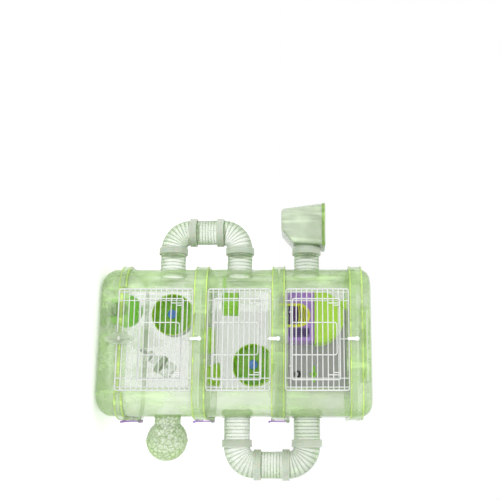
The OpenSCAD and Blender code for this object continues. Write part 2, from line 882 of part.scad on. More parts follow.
// Place of the water bottle: tilted, with its mouth low and to the left
module at_bottle() {
    translate(bottle_at) rotate([0, bottle_tilt, 0]) children();
}

module water_bottle() {
    neck_r = bottle_r * 0.55;
    color([0.95, 0.97, 0.96]) at_bottle() rotate_extrude() polygon([
        [0, 0], [neck_r, 0], [neck_r, 8], [bottle_r, 14], [bottle_r, bottle_len + 8], [bottle_r - 5, bottle_len + 14],
        [0, bottle_len + 14]]);
}

module bottle_cap() {
    color([0.98, 0.98, 0.98]) at_bottle() translate([0, 0, -9]) cylinder(r = bottle_r * 0.55 + 3, h = 9);
}

module bottle_spout() {
    color([0.8, 0.8, 0.82]) at_bottle() translate([0, 0, -29]) cylinder(r = 3.5, h = 20);
}

// Strap around the bottle with an arm to the back wall
module bottle_holder() {
    mid_x = bottle_at[0] + (bottle_len * 0.6) * sin(bottle_tilt);
    mid_z = bottle_at[2] + (bottle_len * 0.6) * cos(bottle_tilt);
    color([0.9, 0.93, 0.9]) union() {
        at_bottle() translate([0, 0, bottle_len * 0.6 - 5]) difference() {
            cylinder(r = bottle_r + 3, h = 10);
            translate([0, 0, -cut]) cylinder(r = bottle_r + tube_fit, h = 10 + 2 * cut);
        }
        translate([mid_x - 4, bottle_at[1] + bottle_r + 1.5, mid_z - 4]) cube([8, back_y - bottle_at[1] - bottle_r - 1.5, 8]);
    }
}

// Rubber grommet in the back wall, for the spout of a bottle hung outside
module port_grommet() {
    bore_r = port_bore_d / 2;
    color([0.08, 0.08, 0.08]) translate([port_at[0], 0, port_at[2]]) difference() {
        union() {
            rod_y(back_y - 2, back_y, bore_r + 4);
            rod_y(back_y - 1, back_y + wall + 1, bore_r + 2 - tube_fit);
            rod_y(back_y + wall, back_y + wall + 2, bore_r + 4);
        }
        rod_y(back_y - 3, back_y + wall + 3, bore_r);
    }
}

// Green clip above the port, which an outside bottle's hook fits behind
module bottle_hanger() {
    color([0.36, 0.72, 0.2]) translate([port_at[0], 0, port_at[2] + 36]) union() {
        translate([-18, back_y - 5, -3]) cube([36, 3, 6]);
        translate([-3, back_y - 5, -9]) cube([6, 3, 18]);
        rod_y(back_y - 3, back_y, 5);
    }
}

base_tray();
lower_shell();
lower_floor();
middle_shell();
upper_floor();
upper_shell();
top_cap();
carry_handle();
handle_pins();
lower_grille();
middle_grille();
upper_grille();
lower_door();
middle_door();
upper_door();
grille_clips();
turn_clip();
turn_clip_pin();
lower_latch();
middle_latch();
upper_latch();
latch_pins();
left_lower_stub();
left_lower_elbow();
left_middle_tube();
left_upper_elbow();
left_upper_stub();
left_rings();
right_lower_stub();
right_lower_elbow();
right_middle_tube();
right_upper_elbow();
right_upper_stub();
right_rings();
wall_nuts();
pod_stub();
pod_ring();
pod_body();
pod_lid();
pod_hinge_pin();
ball_neck_half();
ball_cap_half();
lower_wheel_stand();
lower_wheel();
middle_wheel_stand();
middle_wheel();
hub_caps();
house_walls();
house_arch();
house_roof();
dome_hut();
food_cup();
food_dish();
sand_dish();
water_bottle();
bottle_cap();
bottle_spout();
bottle_holder();
port_grommet();
bottle_hanger();
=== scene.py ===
"""A three-storey hamster tower of clear green plastic, laid out as an add-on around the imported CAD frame."""
import math

import bmesh
import bpy
import mathutils
import numpy as np
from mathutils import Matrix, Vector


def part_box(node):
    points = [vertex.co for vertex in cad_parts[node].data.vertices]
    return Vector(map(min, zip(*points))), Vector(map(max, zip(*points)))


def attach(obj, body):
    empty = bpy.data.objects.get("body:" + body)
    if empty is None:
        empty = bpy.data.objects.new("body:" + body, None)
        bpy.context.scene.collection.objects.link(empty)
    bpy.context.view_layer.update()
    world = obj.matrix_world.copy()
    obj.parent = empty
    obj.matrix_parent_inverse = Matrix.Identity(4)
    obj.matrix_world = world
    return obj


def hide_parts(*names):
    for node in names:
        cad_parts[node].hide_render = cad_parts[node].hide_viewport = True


bl_info = {
    "name": "Hamster tower",
    "version": (1, 0, 0),
    "blender": (4, 5, 0),
    "location": "3D View > Sidebar > Cage",
    "description": "Builds the shells, wire doors, tubes and furniture of a hamster tower",
    "category": "Object",
}

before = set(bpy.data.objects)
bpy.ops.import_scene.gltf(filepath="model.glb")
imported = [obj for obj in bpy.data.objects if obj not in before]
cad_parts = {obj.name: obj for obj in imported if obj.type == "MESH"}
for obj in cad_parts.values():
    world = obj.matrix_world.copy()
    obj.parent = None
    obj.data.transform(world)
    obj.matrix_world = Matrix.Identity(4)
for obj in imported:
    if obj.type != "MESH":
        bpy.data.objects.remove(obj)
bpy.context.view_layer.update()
MM = 0.001


def lowest(node):
    """Lowest corner of a CAD node, as an array."""
    return np.array(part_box(node)[0])


def highest(node):
    """Highest corner of a CAD node, as an array."""
    return np.array(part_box(node)[1])


def middle(node):
    """Middle of a CAD node's box, as an array."""
    return (lowest(node) + highest(node)) / 2


# The tower's walls, from the frame
WALL = 2 * MM
CORNER_R = 48 * MM
FIT_GAP = 0.2 * MM
SHARP_DEGREES = 35
BAND_PROUD = 5 * MM
LIP_PROUD = 1.5 * MM
LIP_H = 3 * MM
HALF_W = -lowest("middle_shell")[0]
HALF_D = -lowest("middle_shell")[1]
BASE_TOP = lowest("lower_shell")[2]
FLOOR_T = 3 * MM
FLOORS = ("lower_floor", "upper_floor")
SHELLS = ("lower_shell", "middle_shell", "upper_shell")
STOREYS = ("lower", "middle", "upper")
JOINT_Z = [BASE_TOP, middle("lower_floor")[2], middle("upper_floor")[2], highest("upper_shell")[2]]
TOP_Z = highest("top_cap")[2]

# Tubes
TUBE_R = 27 * MM
TUBE_WALL = 1.6 * MM
RING_R = TUBE_R + 4 * MM
RING_HALF = 7.5 * MM
LOOP_X = middle("right_middle_tube")[0]
ELBOW_R = 38 * MM
RING_LEAD = 4.5 * MM
RING_X = LOOP_X - ELBOW_R - RING_LEAD
POD_RIGHT = -RING_X - RING_HALF - 2 * MM
PORT_Z = [middle("left_lower_stub")[2], middle("left_upper_stub")[2], middle("right_upper_stub")[2]]

# Wires
WIRE_R = 1 * MM
FRAME_WIRE_R = 1.5 * MM
CROSS_Y = lowest("lower_grille")[1] + WIRE_R
UPRIGHT_Y = CROSS_Y + 1.6 * MM
FRAME_Y = highest("lower_grille")[1] - FRAME_WIRE_R
DOOR_Y = CROSS_Y - 3.2 * MM
STIFFENER_Y = DOOR_Y - 1.6 * MM
SILL_STEP = (4, 1, 1)  # cross wires below each door
WIRE_STEP = 10.8 * MM


# ---------------------------------------------------------------- meshes

def turn(count, start=0.0, sweep=2 * math.pi, closed=True):
    """Evenly spaced angles over a sweep; a closed turn leaves out its last angle."""
    return start + np.linspace(0, sweep, count, endpoint=not closed)


def grid_faces(rows, cols, wrap_rows, wrap_cols):
    """Quads of a grid: each joins a point to its neighbours in the next row and column, wrapping where asked."""
    r = np.arange(rows if wrap_rows else rows - 1)
    c = np.arange(cols if wrap_cols else cols - 1)
    r, c = np.meshgrid(r, c, indexing="ij")
    r2, c2 = (r + 1) % rows, (c + 1) % cols
    return np.stack([r * cols + c, r * cols + c2, r2 * cols + c2, r2 * cols + c], -1).reshape(-1, 4)


def surface(points, wrap_rows=False, wrap_cols=True, caps=(False, False), ink=None):
    """A surface from a grid of points (rows, cols, 3). caps closes the first and the last row with a flat
    face. ink gives the material index of each row of faces. Returns points, faces and indices."""
    rows, cols = points.shape[:2]
    faces = grid_faces(rows, cols, wrap_rows, wrap_cols)
    bands = rows if wrap_rows else rows - 1
    inks = np.repeat(np.zeros(bands, int) if ink is None else np.asarray(ink),
                     cols if wrap_cols else cols - 1)
    faces, inks = faces.tolist(), inks.tolist()
    if caps[0]:
        faces.append(np.arange(cols)[::-1].tolist())
    if caps[1]:
        faces.append((np.arange(cols) + (rows - 1) * cols).tolist())
    inks += [0] * (len(faces) - len(inks))
    return points.reshape(-1, 3), faces, inks


def join(parts):
    """Several (points, faces, indices) as one."""
    verts, faces, inks, start = [], [], [], 0
    for v, f, k in parts:
        verts.append(v)
        faces += [[i + start for i in face] for face in f]
        inks += k
        start += len(v)
    return np.vstack(verts), faces, inks


def outward(part):
    """The same closed surface with its faces turned outwards: its signed volume must be positive."""
    verts, faces, inks = part
    tris = np.array([(f[0], f[k], f[k + 1]) for f in faces for k in range(1, len(f) - 1)])
    a, b, c = verts[tris[:, 0]], verts[tris[:, 1]], verts[tris[:, 2]]
    if np.einsum("ij,ij->i", a, np.cross(b, c)).sum() < 0:
        faces = [f[::-1] for f in faces]
    return verts, faces, inks


def make(name, parts, materials, body="cage", nodes=(), sharp=SHARP_DEGREES):
    """Turns surfaces into one finished object that rides on a body and stands for CAD nodes."""
    verts, faces, inks = join([outward(part) for part in parts])
    mesh = bpy.data.meshes.new(name)
    mesh.from_pydata(verts.tolist(), [], faces)
    mesh.polygons.foreach_set("material_index", inks)
    for material in materials:
        mesh.materials.append(material)
    mesh.validate()
    merge(mesh)
    mesh.shade_smooth()
    mesh.set_sharp_from_angle(angle=math.radians(sharp))
    piece = bpy.data.objects.new(name, mesh)
    bpy.context.scene.collection.objects.link(piece)
    if body:
        settle(piece, body, nodes)
    return piece


def merge(mesh):
    """Merges the doubled points of poles and seams."""
    work = bmesh.new()
    work.from_mesh(mesh)
    bmesh.ops.remove_doubles(work, verts=work.verts, dist=1e-7)
    bmesh.ops.dissolve_degenerate(work, edges=work.edges, dist=1e-8)
    work.to_mesh(mesh)
    work.free()


def settle(piece, body, nodes):
    """Rides a piece on its body and hides the CAD nodes that it stands for."""
    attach(piece, body)
    if nodes:
        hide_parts(*nodes)


def cut(piece, cutters):
    """Takes cutters out of a piece with exact Booleans, and removes them."""
    for cutter in cutters:
        boolean = piece.modifiers.new("cut", "BOOLEAN")
        boolean.object = cutter
        boolean.operation = "DIFFERENCE"
        boolean.solver = "EXACT"
    graph = bpy.context.evaluated_depsgraph_get()
    mesh = bpy.data.meshes.new_from_object(piece.evaluated_get(graph))
    piece.modifiers.clear()
    piece.data = mesh
    for cutter in cutters:
        bpy.data.objects.remove(cutter)
    mesh.shade_smooth()
    mesh.set_sharp_from_angle(angle=math.radians(SHARP_DEGREES))


def bevel(piece, width, segments=3, angle=40):
    """Rounds a piece's sharp edges."""
    modifier = piece.modifiers.new("rounding", "BEVEL")
    modifier.width = width
    modifier.segments = segments
    modifier.limit_method = "ANGLE"
    modifier.angle_limit = math.radians(angle)
    modifier.use_clamp_overlap = True


def rounded_rect(half_x, half_y, radius, steps=12):
    """Rounded rectangle as (4 * steps, 2) points: a quarter circle about each corner's centre."""
    a = np.linspace(0, math.pi / 2, steps)
    angle = (a[None, :] + np.arange(4)[:, None] * math.pi / 2).ravel()
    sx = np.repeat([1, -1, -1, 1], steps)
    sy = np.repeat([1, 1, -1, -1], steps)
    x = sx * (half_x - radius) + radius * np.cos(angle)
    y = sy * (half_y - radius) + radius * np.sin(angle)
    return np.stack([x, y], -1)


def around_tower(rows, steps=16):
    """A profile of (grow, z) rows carried around the tower's outline: each row is the rounded rectangle of
    the walls grown by that much, at that height."""
    loops = [np.column_stack([rounded_rect(HALF_W + g, HALF_D + g, CORNER_R + g, steps),
                              np.full(4 * steps, z)]) for g, z in rows]
    return np.array(loops)


def arc(centre, radius, start, end, count=8):
    """Points of an arc between two angles in degrees, as (count, 2)."""
    a = np.radians(np.linspace(start, end, count))
    return np.stack([centre[0] + radius * np.cos(a), centre[1] + radius * np.sin(a)], -1)


AXES = {"x": np.array([[0, 0, 1], [1, 0, 0], [0, 1, 0]]),
        "y": np.array([[0, 1, 0], [0, 0, 1], [1, 0, 0]]),
        "z": np.eye(3)}


def revolve(profile, at, axis="z", steps=64, closed=True, ripple=None, ink=None):
    """A profile of (radius, height) rows turned about an axis through a point. closed joins the last row
    to the first. ripple(angle) scales the radius around the turn."""
    profile = np.asarray(profile, float)
    a = turn(steps)
    r = profile[:, :1] * (ripple(a) if ripple else np.ones(steps))[None, :]
    local = np.stack([r * np.cos(a), r * np.sin(a), np.broadcast_to(profile[:, 1:], r.shape)], -1)
    basis = AXES[axis] if isinstance(axis, str) else axis
    return surface(local @ basis.T + np.asarray(at), wrap_rows=closed, ink=ink)


def sweep(path, radius, normal, steps=8, closed=False):
    """A round wire along a path that lies in the plane across normal: each ring stands on the sideways
    direction (tangent crossed with the normal) and the normal."""
    path, normal = np.asarray(path, float), np.asarray(normal, float)
    ahead = np.roll(path, -1, 0) - np.roll(path, 1, 0)
    if not closed:
        ahead[0], ahead[-1] = path[1] - path[0], path[-1] - path[-2]
    side = np.cross(ahead, normal)
    side /= np.linalg.norm(side, axis=1)[:, None]
    a = turn(steps)
    radius = np.broadcast_to(np.asarray(radius, float), (len(path),))
    rings = radius[:, None,
                   None] * (np.cos(a)[None, :, None] * side[:, None, :] + np.sin(a)[None, :,
                                                                                    None] * normal)
    return surface(path[:, None, :] + rings, wrap_rows=closed, caps=(not closed, not closed))


def block(lo, hi):
    """A box between two corners, as a surface of two square rings with end fans."""
    lo, hi = np.asarray(lo, float), np.asarray(hi, float)
    square = np.array([[0, 0], [1, 0], [1, 1], [0, 1]])
    rings = np.array([np.column_stack([square, np.full(4, z)]) for z in (0, 1)])
    return surface(lo + rings * (hi - lo), caps=(True, True))


def prism(outline, lo, hi, axis="y"):
    """A flat outline (n, 2) carried straight along an axis between two places. Across y the outline's
    columns are x and z; across x they are y and z; across z they are x and y."""
    order = {"x": (2, 0, 1), "y": (0, 2, 1), "z": (0, 1, 2)}[axis]
    rings = np.array([np.column_stack([outline, np.full(len(outline), t)]) for t in (lo, hi)])
    return surface(rings[..., list(order)], caps=(True, True))


# ---------------------------------------------------------------- materials

def new_group(name, inputs, outputs):
    """An empty shader node group with named sockets; returns the group, its input and its output node."""
    group = bpy.data.node_groups.new(name, "ShaderNodeTree")
    for socket, kind, value in inputs:
        made = group.interface.new_socket(socket, in_out="INPUT", socket_type=kind)
        made.default_value = value
    for socket, kind in outputs:
        group.interface.new_socket(socket, in_out="OUTPUT", socket_type=kind)
    return group, group.nodes.new("NodeGroupInput"), group.nodes.new("NodeGroupOutput")


def math_node(tree, operation, a, b=None, clamp=False):
    """A Math node; a and b are sockets or numbers."""
    node = tree.nodes.new("ShaderNodeMath")
    node.operation = operation
    node.use_clamp = clamp
    for socket, value in zip(node.inputs, (a, b)):
        if isinstance(value, bpy.types.NodeSocket):
            tree.links.new(value, socket)
        elif value is not None:
            socket.default_value = value
    return node.outputs[0]


def ramp(tree, value, low, high, to_low=0.0, to_high=1.0):
    """A clamped Map Range of a value."""
    node = tree.nodes.new("ShaderNodeMapRange")
    tree.links.new(value, node.inputs["Value"])
    for socket, number in zip(("From Min", "From Max", "To Min", "To Max"),
                              (low, high, to_low, to_high)):
        node.inputs[socket].default_value = number
    return node.outputs[0]


def mix(tree, factor, a, b):
    """A colour mix; the factor is a socket, the colours are sockets or tuples."""
    node = tree.nodes.new("ShaderNodeMix")
    node.data_type = "RGBA"
    tree.links.new(factor, node.inputs[0])
    for socket, value in ((node.inputs[6], a), (node.inputs[7], b)):
        if isinstance(value, bpy.types.NodeSocket):
            tree.links.new(value, socket)
        else:
            socket.default_value = value
    return node.outputs[2]


def moulding_group():
    """Moulded plastic: slow tone changes, streaks where the melt ran, and a fine grain for the bump. With the clear
    plastic's lighter second tone, the clouds and streaks are also painted highlight streaks.
    """
    group, source, sink = new_group(
        "Moulded surface",
        [("Tone", "NodeSocketColor", (1, 1, 1, 1)),
         ("Second Tone", "NodeSocketColor", (1, 1, 1, 1)),
         ("Cloud Scale", "NodeSocketFloat", 18.0), ("Streaks", "NodeSocketFloat", 0.3),
         ("Roughness", "NodeSocketFloat", 0.2), ("Spread", "NodeSocketFloat", 0.1)],
        [("Color", "NodeSocketColor"), ("Roughness", "NodeSocketFloat"),
         ("Height", "NodeSocketFloat"),
         ("Cloud", "NodeSocketFloat")])
    link = group.links.new
    place = group.nodes.new("ShaderNodeTexCoord")
    cloud = group.nodes.new("ShaderNodeTexNoise")
    link(place.outputs["Object"], cloud.inputs["Vector"])
    link(source.outputs["Cloud Scale"], cloud.inputs["Scale"])
    stretch = group.nodes.new("ShaderNodeMapping")
    stretch.inputs["Scale"].default_value = (60, 60, 7)
    link(place.outputs["Object"], stretch.inputs["Vector"])
    streak = group.nodes.new("ShaderNodeTexNoise")
    streak.inputs["Scale"].default_value = 1.0
    streak.inputs["Detail"].default_value = 3.0
    link(stretch.outputs[0], streak.inputs["Vector"])
    grain = group.nodes.new("ShaderNodeTexNoise")
    grain.inputs["Scale"].default_value = 900.0
    link(place.outputs["Object"], grain.inputs["Vector"])
    tone = ramp(group, cloud.outputs[0], 0.3, 0.7)
    run = math_node(group, "MULTIPLY", ramp(group, streak.outputs[0], 0.5, 0.75),
                    source.outputs["Streaks"])
    both = math_node(group, "ADD", math_node(group, "MULTIPLY", tone, 0.7), run, clamp=True)
    colour = mix(group, both, (1, 1, 1, 1), (1, 1, 1, 1))
    colour_node = colour.node
    link(source.outputs["Tone"], colour_node.inputs[6])
    link(source.outputs["Second Tone"], colour_node.inputs[7])
    link(colour, sink.inputs["Color"])
    rough = math_node(group, "MULTIPLY_ADD", tone, None)
    link(source.outputs["Spread"], rough.node.inputs[1])
    link(source.outputs["Roughness"], rough.node.inputs[2])
    link(rough, sink.inputs["Roughness"])
    relief = math_node(group, "ADD", math_node(group, "MULTIPLY", grain.outputs[0], 0.15), run)
    link(relief, sink.inputs["Height"])
    link(both, sink.inputs["Cloud"])
    return group


def dust_group():
    """Dust and scuffs: a speckled mask that is strongest on faces that look up."""
    group, source, sink = new_group(
        "Dust and scuffs", [("Amount", "NodeSocketFloat", 0.2)], [("Mask", "NodeSocketFloat")])
    link = group.links.new
    place = group.nodes.new("ShaderNodeTexCoord")
    speck = group.nodes.new("ShaderNodeTexNoise")
    speck.inputs["Scale"].default_value = 260.0
    speck.inputs["Detail"].default_value = 5.0
    link(place.outputs["Object"], speck.inputs["Vector"])
    facing = group.nodes.new("ShaderNodeNewGeometry")
    parts = group.nodes.new("ShaderNodeSeparateXYZ")
    link(facing.outputs["Normal"], parts.inputs[0])
    up = ramp(group, parts.outputs["Z"], -0.2, 1.0, 0.35, 1.0)
    mask = math_node(group, "MULTIPLY", ramp(group, speck.outputs[0], 0.48, 0.72), up)
    link(math_node(group, "MULTIPLY", mask, source.outputs["Amount"]), sink.inputs["Mask"])
    return group


def wear_group():
    """Pale rubbed edges: a mask from how convex the surface is, broken up by noise."""
    group, source, sink = new_group(
        "Rubbed edges", [("Amount", "NodeSocketFloat", 0.5)], [("Mask", "NodeSocketFloat")])
    link = group.links.new
    shape = group.nodes.new("ShaderNodeNewGeometry")
    place = group.nodes.new("ShaderNodeTexCoord")
    breakup = group.nodes.new("ShaderNodeTexNoise")
    breakup.inputs["Scale"].default_value = 140.0
    link(place.outputs["Object"], breakup.inputs["Vector"])
    edge = ramp(group, shape.outputs["Pointiness"], 0.52, 0.6)
    mask = math_node(group, "MULTIPLY", edge, ramp(group, breakup.outputs[0], 0.35, 0.65))
    link(math_node(group, "MULTIPLY", mask, source.outputs["Amount"]), sink.inputs["Mask"])
    return group


GROUPS = {}
MATERIALS = {}


def placed(tree, name, **values):
    """One of the shared groups, placed in a material with its own values."""
    if name not in GROUPS:
        GROUPS[name] = {"moulding": moulding_group, "dust": dust_group, "wear": wear_group,
                        "facets": crackle_group}[name]()
    node = tree.nodes.new("ShaderNodeGroup")
    node.node_tree = GROUPS[name]
    for socket, value in values.items():
        node.inputs[socket.replace("_", " ")].default_value = value
    return node


def rgba(colour, alpha=1.0):
    """A colour with its alpha."""
    return (*tuple(colour)[:3], alpha)


def start_material(name):
    """A new node material; returns it, its tree and its Principled shader."""
    material = bpy.data.materials.new(name)
    material.use_nodes = True
    return material, material.node_tree, material.node_tree.nodes["Principled BSDF"]


def add_relief(tree, shader, height, distance, strength=0.4):
    """Feeds a height to the shader's normal."""
    bump = tree.nodes.new("ShaderNodeBump")
    bump.inputs["Strength"].default_value = strength
    bump.inputs["Distance"].default_value = distance
    tree.links.new(height, bump.inputs["Height"])
    tree.links.new(bump.outputs[0], shader.inputs["Normal"])


def solid_plastic(name, tone, second, roughness=0.22, grain=0.2, streaks=0.25, dust=0.12,
                  subsurface=0.0):
    """Opaque moulded plastic with clouds, run marks, rubbed edges and dust."""
    if name in MATERIALS:
        return MATERIALS[name]
    material, tree, shader = start_material(name)
    link = tree.links.new
    body = placed(tree, "moulding", Tone=rgba(tone), Second_Tone=rgba(second), Cloud_Scale=22.0,
                  Streaks=streaks,
                  Roughness=roughness, Spread=0.12)
    worn = mix(tree, placed(tree, "wear", Amount=0.35).outputs[0], body.outputs["Color"],
               rgba([min(1, c * 1.25 + 0.08) for c in tone]))
    dusty = mix(tree, placed(tree, "dust", Amount=dust).outputs[0], worn, (0.9, 0.9, 0.86, 1))
    link(dusty, shader.inputs["Base Color"])
    link(body.outputs["Roughness"], shader.inputs["Roughness"])
    shader.inputs["IOR"].default_value = 1.5
    shader.inputs["Subsurface Weight"].default_value = subsurface
    shader.inputs["Subsurface Scale"].default_value = 0.004
    add_relief(tree, shader, body.outputs["Height"], 0.0004 * grain)
    MATERIALS[name] = material
    return material


def crackle_group():
    """Moulded facets: a mask that is strong along the borders of the cells of a Voronoi pattern."""
    group, source, sink = new_group(
        "Moulded facets", [("Scale", "NodeSocketFloat", 60.0), ("Width", "NodeSocketFloat", 0.12)],
        [("Mask", "NodeSocketFloat")])
    place = group.nodes.new("ShaderNodeTexCoord")
    cells = group.nodes.new("ShaderNodeTexVoronoi")
    cells.feature = "DISTANCE_TO_EDGE"
    group.links.new(place.outputs["Object"], cells.inputs["Vector"])
    group.links.new(source.outputs["Scale"], cells.inputs["Scale"])
    near = math_node(group, "DIVIDE", cells.outputs["Distance"], source.outputs["Width"])
    group.links.new(ramp(group, near, 0.0, 1.0, 1.0, 0.0), sink.inputs["Mask"])
    return group


def clear_plastic(name, pale, deep, body_alpha, edge_alpha, roughness=0.12, streaks=0.5, back=None,
                  facets=0.0):
    """Thin clear plastic: faint where it is looked through, deeper in colour towards its silhouette, where
    the light passes through more of it. back=(colour, alpha) paints shade on the back wall behind the
    window, darker and denser, for the shadowed inside of a storey; facets draws the borders of moulded cells."""
    if name in MATERIALS:
        return MATERIALS[name]
    material, tree, shader = start_material(name)
    link = tree.links.new
    weight = tree.nodes.new("ShaderNodeLayerWeight")
    weight.inputs["Blend"].default_value = 0.5
    edge = math_node(tree, "POWER", weight.outputs["Facing"], 1.6)
    # Painted highlights: the lighter second tone, laid on along the clouds and streaks, and the alpha that follows
    # the clouds, draw white highlight streaks on the clear plastic, besides its tone changes.
    second = [min(1, p * 1.6 + 0.12) for p in pale]
    body = placed(tree, "moulding", Tone=rgba(pale), Second_Tone=rgba(second), Cloud_Scale=16.0,
                  Streaks=streaks,
                  Roughness=roughness, Spread=0.1)
    colour = mix(tree, edge, body.outputs["Color"], rgba(deep))
    cover = ramp(tree, body.outputs["Cloud"], 0.0, 1.0, 0.6, 1.7)
    alpha = math_node(tree, "MULTIPLY", ramp(tree, edge, 0.0, 1.0, body_alpha, edge_alpha), cover,
                      clamp=True)
    if facets:
        lines = placed(tree, "facets", Scale=facets, Width=0.16).outputs[0]
        colour = mix(tree, lines, colour, rgba(deep))
        alpha = math_node(tree, "MAXIMUM", alpha, math_node(tree, "MULTIPLY", lines, 0.75))
    # Painted shade: behind the window the back wall is mixed towards a darker colour and made denser, for the
    # shadowed inside of the storey.
    if back:
        place = tree.nodes.new("ShaderNodeTexCoord")
        parts = tree.nodes.new("ShaderNodeSeparateXYZ")
        link(place.outputs["Object"], parts.inputs[0])
        behind = ramp(tree, parts.outputs["Y"], HALF_D - 4 * WALL, HALF_D - 1.2 * WALL)
        across = ramp(tree, math_node(tree, "ABSOLUTE", parts.outputs["X"]), 0.085, 0.115, 1.0, 0.0)
        back_wall_shade = math_node(tree, "MULTIPLY", behind, across)
        colour = mix(tree, back_wall_shade, colour, rgba(back[0]))
        alpha = math_node(tree, "MAXIMUM", alpha, math_node(tree, "MULTIPLY", back_wall_shade, back[1]))
    inside = tree.nodes.new("ShaderNodeNewGeometry")
    seen = ramp(tree, inside.outputs["Backfacing"], 0.0, 1.0, 1.0, 0.25)
    link(math_node(tree, "MULTIPLY", alpha, seen), shader.inputs["Alpha"])
    dusty = mix(tree, placed(tree, "dust", Amount=0.06).outputs[0], colour, (0.95, 0.95, 0.93, 1))
    link(dusty, shader.inputs["Base Color"])
    link(body.outputs["Roughness"], shader.inputs["Roughness"])
    shader.inputs["IOR"].default_value = 1.5
    shader.inputs["Specular IOR Level"].default_value = 0.9
    add_relief(tree, shader, body.outputs["Height"], 0.0012, 0.45)
    MATERIALS[name] = material
    return material


def metal(name, tone, roughness, metallic=1.0):
    """Drawn metal with fine lengthwise scratches."""
    if name in MATERIALS:
        return MATERIALS[name]
    material, tree, shader = start_material(name)
    body = placed(tree, "moulding", Tone=rgba(tone), Second_Tone=rgba([c * 0.8 for c in tone]),
                  Cloud_Scale=90.0,
                  Streaks=0.6, Roughness=roughness, Spread=0.15)
    tree.links.new(body.outputs["Color"], shader.inputs["Base Color"])
    tree.links.new(body.outputs["Roughness"], shader.inputs["Roughness"])
    shader.inputs["Metallic"].default_value = metallic
    add_relief(tree, shader, body.outputs["Height"], 0.0002, 0.3)
    MATERIALS[name] = material
    return material


# ---------------------------------------------------------------- shells

def band_rows(low, high):
    """Outer side of a band from below to above: a rounded lip, the band's face and a rounded lip."""
    lip, face, e = BAND_PROUD + LIP_PROUD, BAND_PROUD, 0.8 * MM
    return [(lip - e, low), (lip, low + e), (lip, low + LIP_H - e), (lip - e, low + LIP_H),
            (face, low + LIP_H),
            (face, high - LIP_H), (lip - e, high - LIP_H), (lip, high - LIP_H + e), (lip, high - e),
            (lip - e, high)]


BAND_INKS = [1, 1, 1, 1, 0, 1, 1, 1, 1]


def window_cutter(i):
    """Rounded opening in a shell's front wall, behind its wire front."""
    lo, hi = lowest(f"{STOREYS[i]}_grille"), highest(f"{STOREYS[i]}_grille")
    low = max(lo[2],
              highest(FLOORS[i - 1])[2] if i else highest("base_tray")[2]) + 5 * MM + (FRAME_WIRE_R if i else 0)
    high = hi[2] - FRAME_WIRE_R - 5 * MM
    outline = rounded_rect(93 * MM, (high - low) / 2, 5 * MM, 6) + [0, (low + high) / 2]
    return prism(outline, -HALF_D - 4 * MM, -HALF_D + WALL + 4 * MM)


def port_cutter(side, z):
    """Round opening in a side wall."""
    r = TUBE_R + 0.12 * MM
    return revolve([(r, -4 * MM), (r, 4 * MM)], (side * HALF_W, 0, z), "x", closed=False)


def closed_ends(part, cols):
    """Adds flat end faces to an open turned surface."""
    verts, faces, inks = part
    start = len(verts) - cols
    return verts, faces + [list(range(cols))[::-1], list(range(start, start + cols))], inks + [0, 0]


def cylinder(radius, lo, hi, at, axis, steps=48, edge=0.0):
    """A solid cylinder along an axis, with rounded rims: radius at heights lo to hi."""
    rows = [(radius - edge, lo), (radius, lo + edge), (radius, hi - edge),
            (radius - edge, hi)] if edge else [
        (radius, lo), (radius, hi)]
    part = revolve(rows, at, axis, steps, closed=False)
    return closed_ends(part, steps)


def cutter(name, part, ink=1):
    """A temporary object to cut with. What it cuts takes the piece's material of index ink: the first or second."""
    verts, faces, _ = outward(part)
    mesh = bpy.data.meshes.new(name)
    mesh.from_pydata(verts.tolist(), [], faces)
    for material in (MATERIALS["clear_green"], MATERIALS["clear_lime"]):
        mesh.materials.append(material)
    mesh.polygons.foreach_set("material_index", [ink] * len(faces))
    tool = bpy.data.objects.new(name, mesh)
    bpy.context.scene.collection.objects.link(tool)
    return tool


def latch_ears(i):
    """Two rounded ears on the right wall, either side of a latch."""
    pin = middle(f"{STOREYS[i]}_latch")
    x = highest("latch_pins")[0] - 1.5 * MM
    z = highest(f"{STOREYS[i]}_latch")[2] - 3.5 * MM
    tip = arc((x, z), 3.5 * MM, -90, 90, 12)
    outline = np.vstack([[(HALF_W - 1 * MM, z - 3.5 * MM)], tip, [(HALF_W - 1 * MM, z + 3.5 * MM)]])
    outer = 14.3 * MM
    return [prism(outline, pin[1] + s * outer, pin[1] + s * (outer - 3 * MM)) for s in (-1, 1)]


def build_shells():
    """The three storeys' walls, each with a front window and its tube ports."""
    lip = MATERIALS["clear_lime"]
    for i, node in enumerate(SHELLS):
        low, high = lowest(node)[2], highest(node)[2]
        e = 0.5 * MM
        rows = [(-e, low), (0, low + e), (0, high - e), (-e, high), (e - WALL, high),
                (-WALL, high - e),
                (-WALL, low + e), (e - WALL, low)]
        piece = make(node,
                     [surface(around_tower(rows, 20), wrap_rows=True,
                              ink=[0, 0, 1, 1, 1, 0, 1, 1])],
                     [MATERIALS[f"clear_{STOREYS[i]}"], lip], None)
        cutters = [cutter("window", window_cutter(i))]
        cutters += [cutter("port", closed_ends(port_cutter(s, PORT_Z[i]), 64)) for s in (-1, 1)]
        if i == 2:
            at = middle("port_grommet")
            cutters.append(cutter("bore", cylinder(6.2 * MM, -9 * MM, 9 * MM, at, "y")))
        cut(piece, cutters)
        add_parts(piece, latch_ears(i))
        settle(piece, "cage", [node])


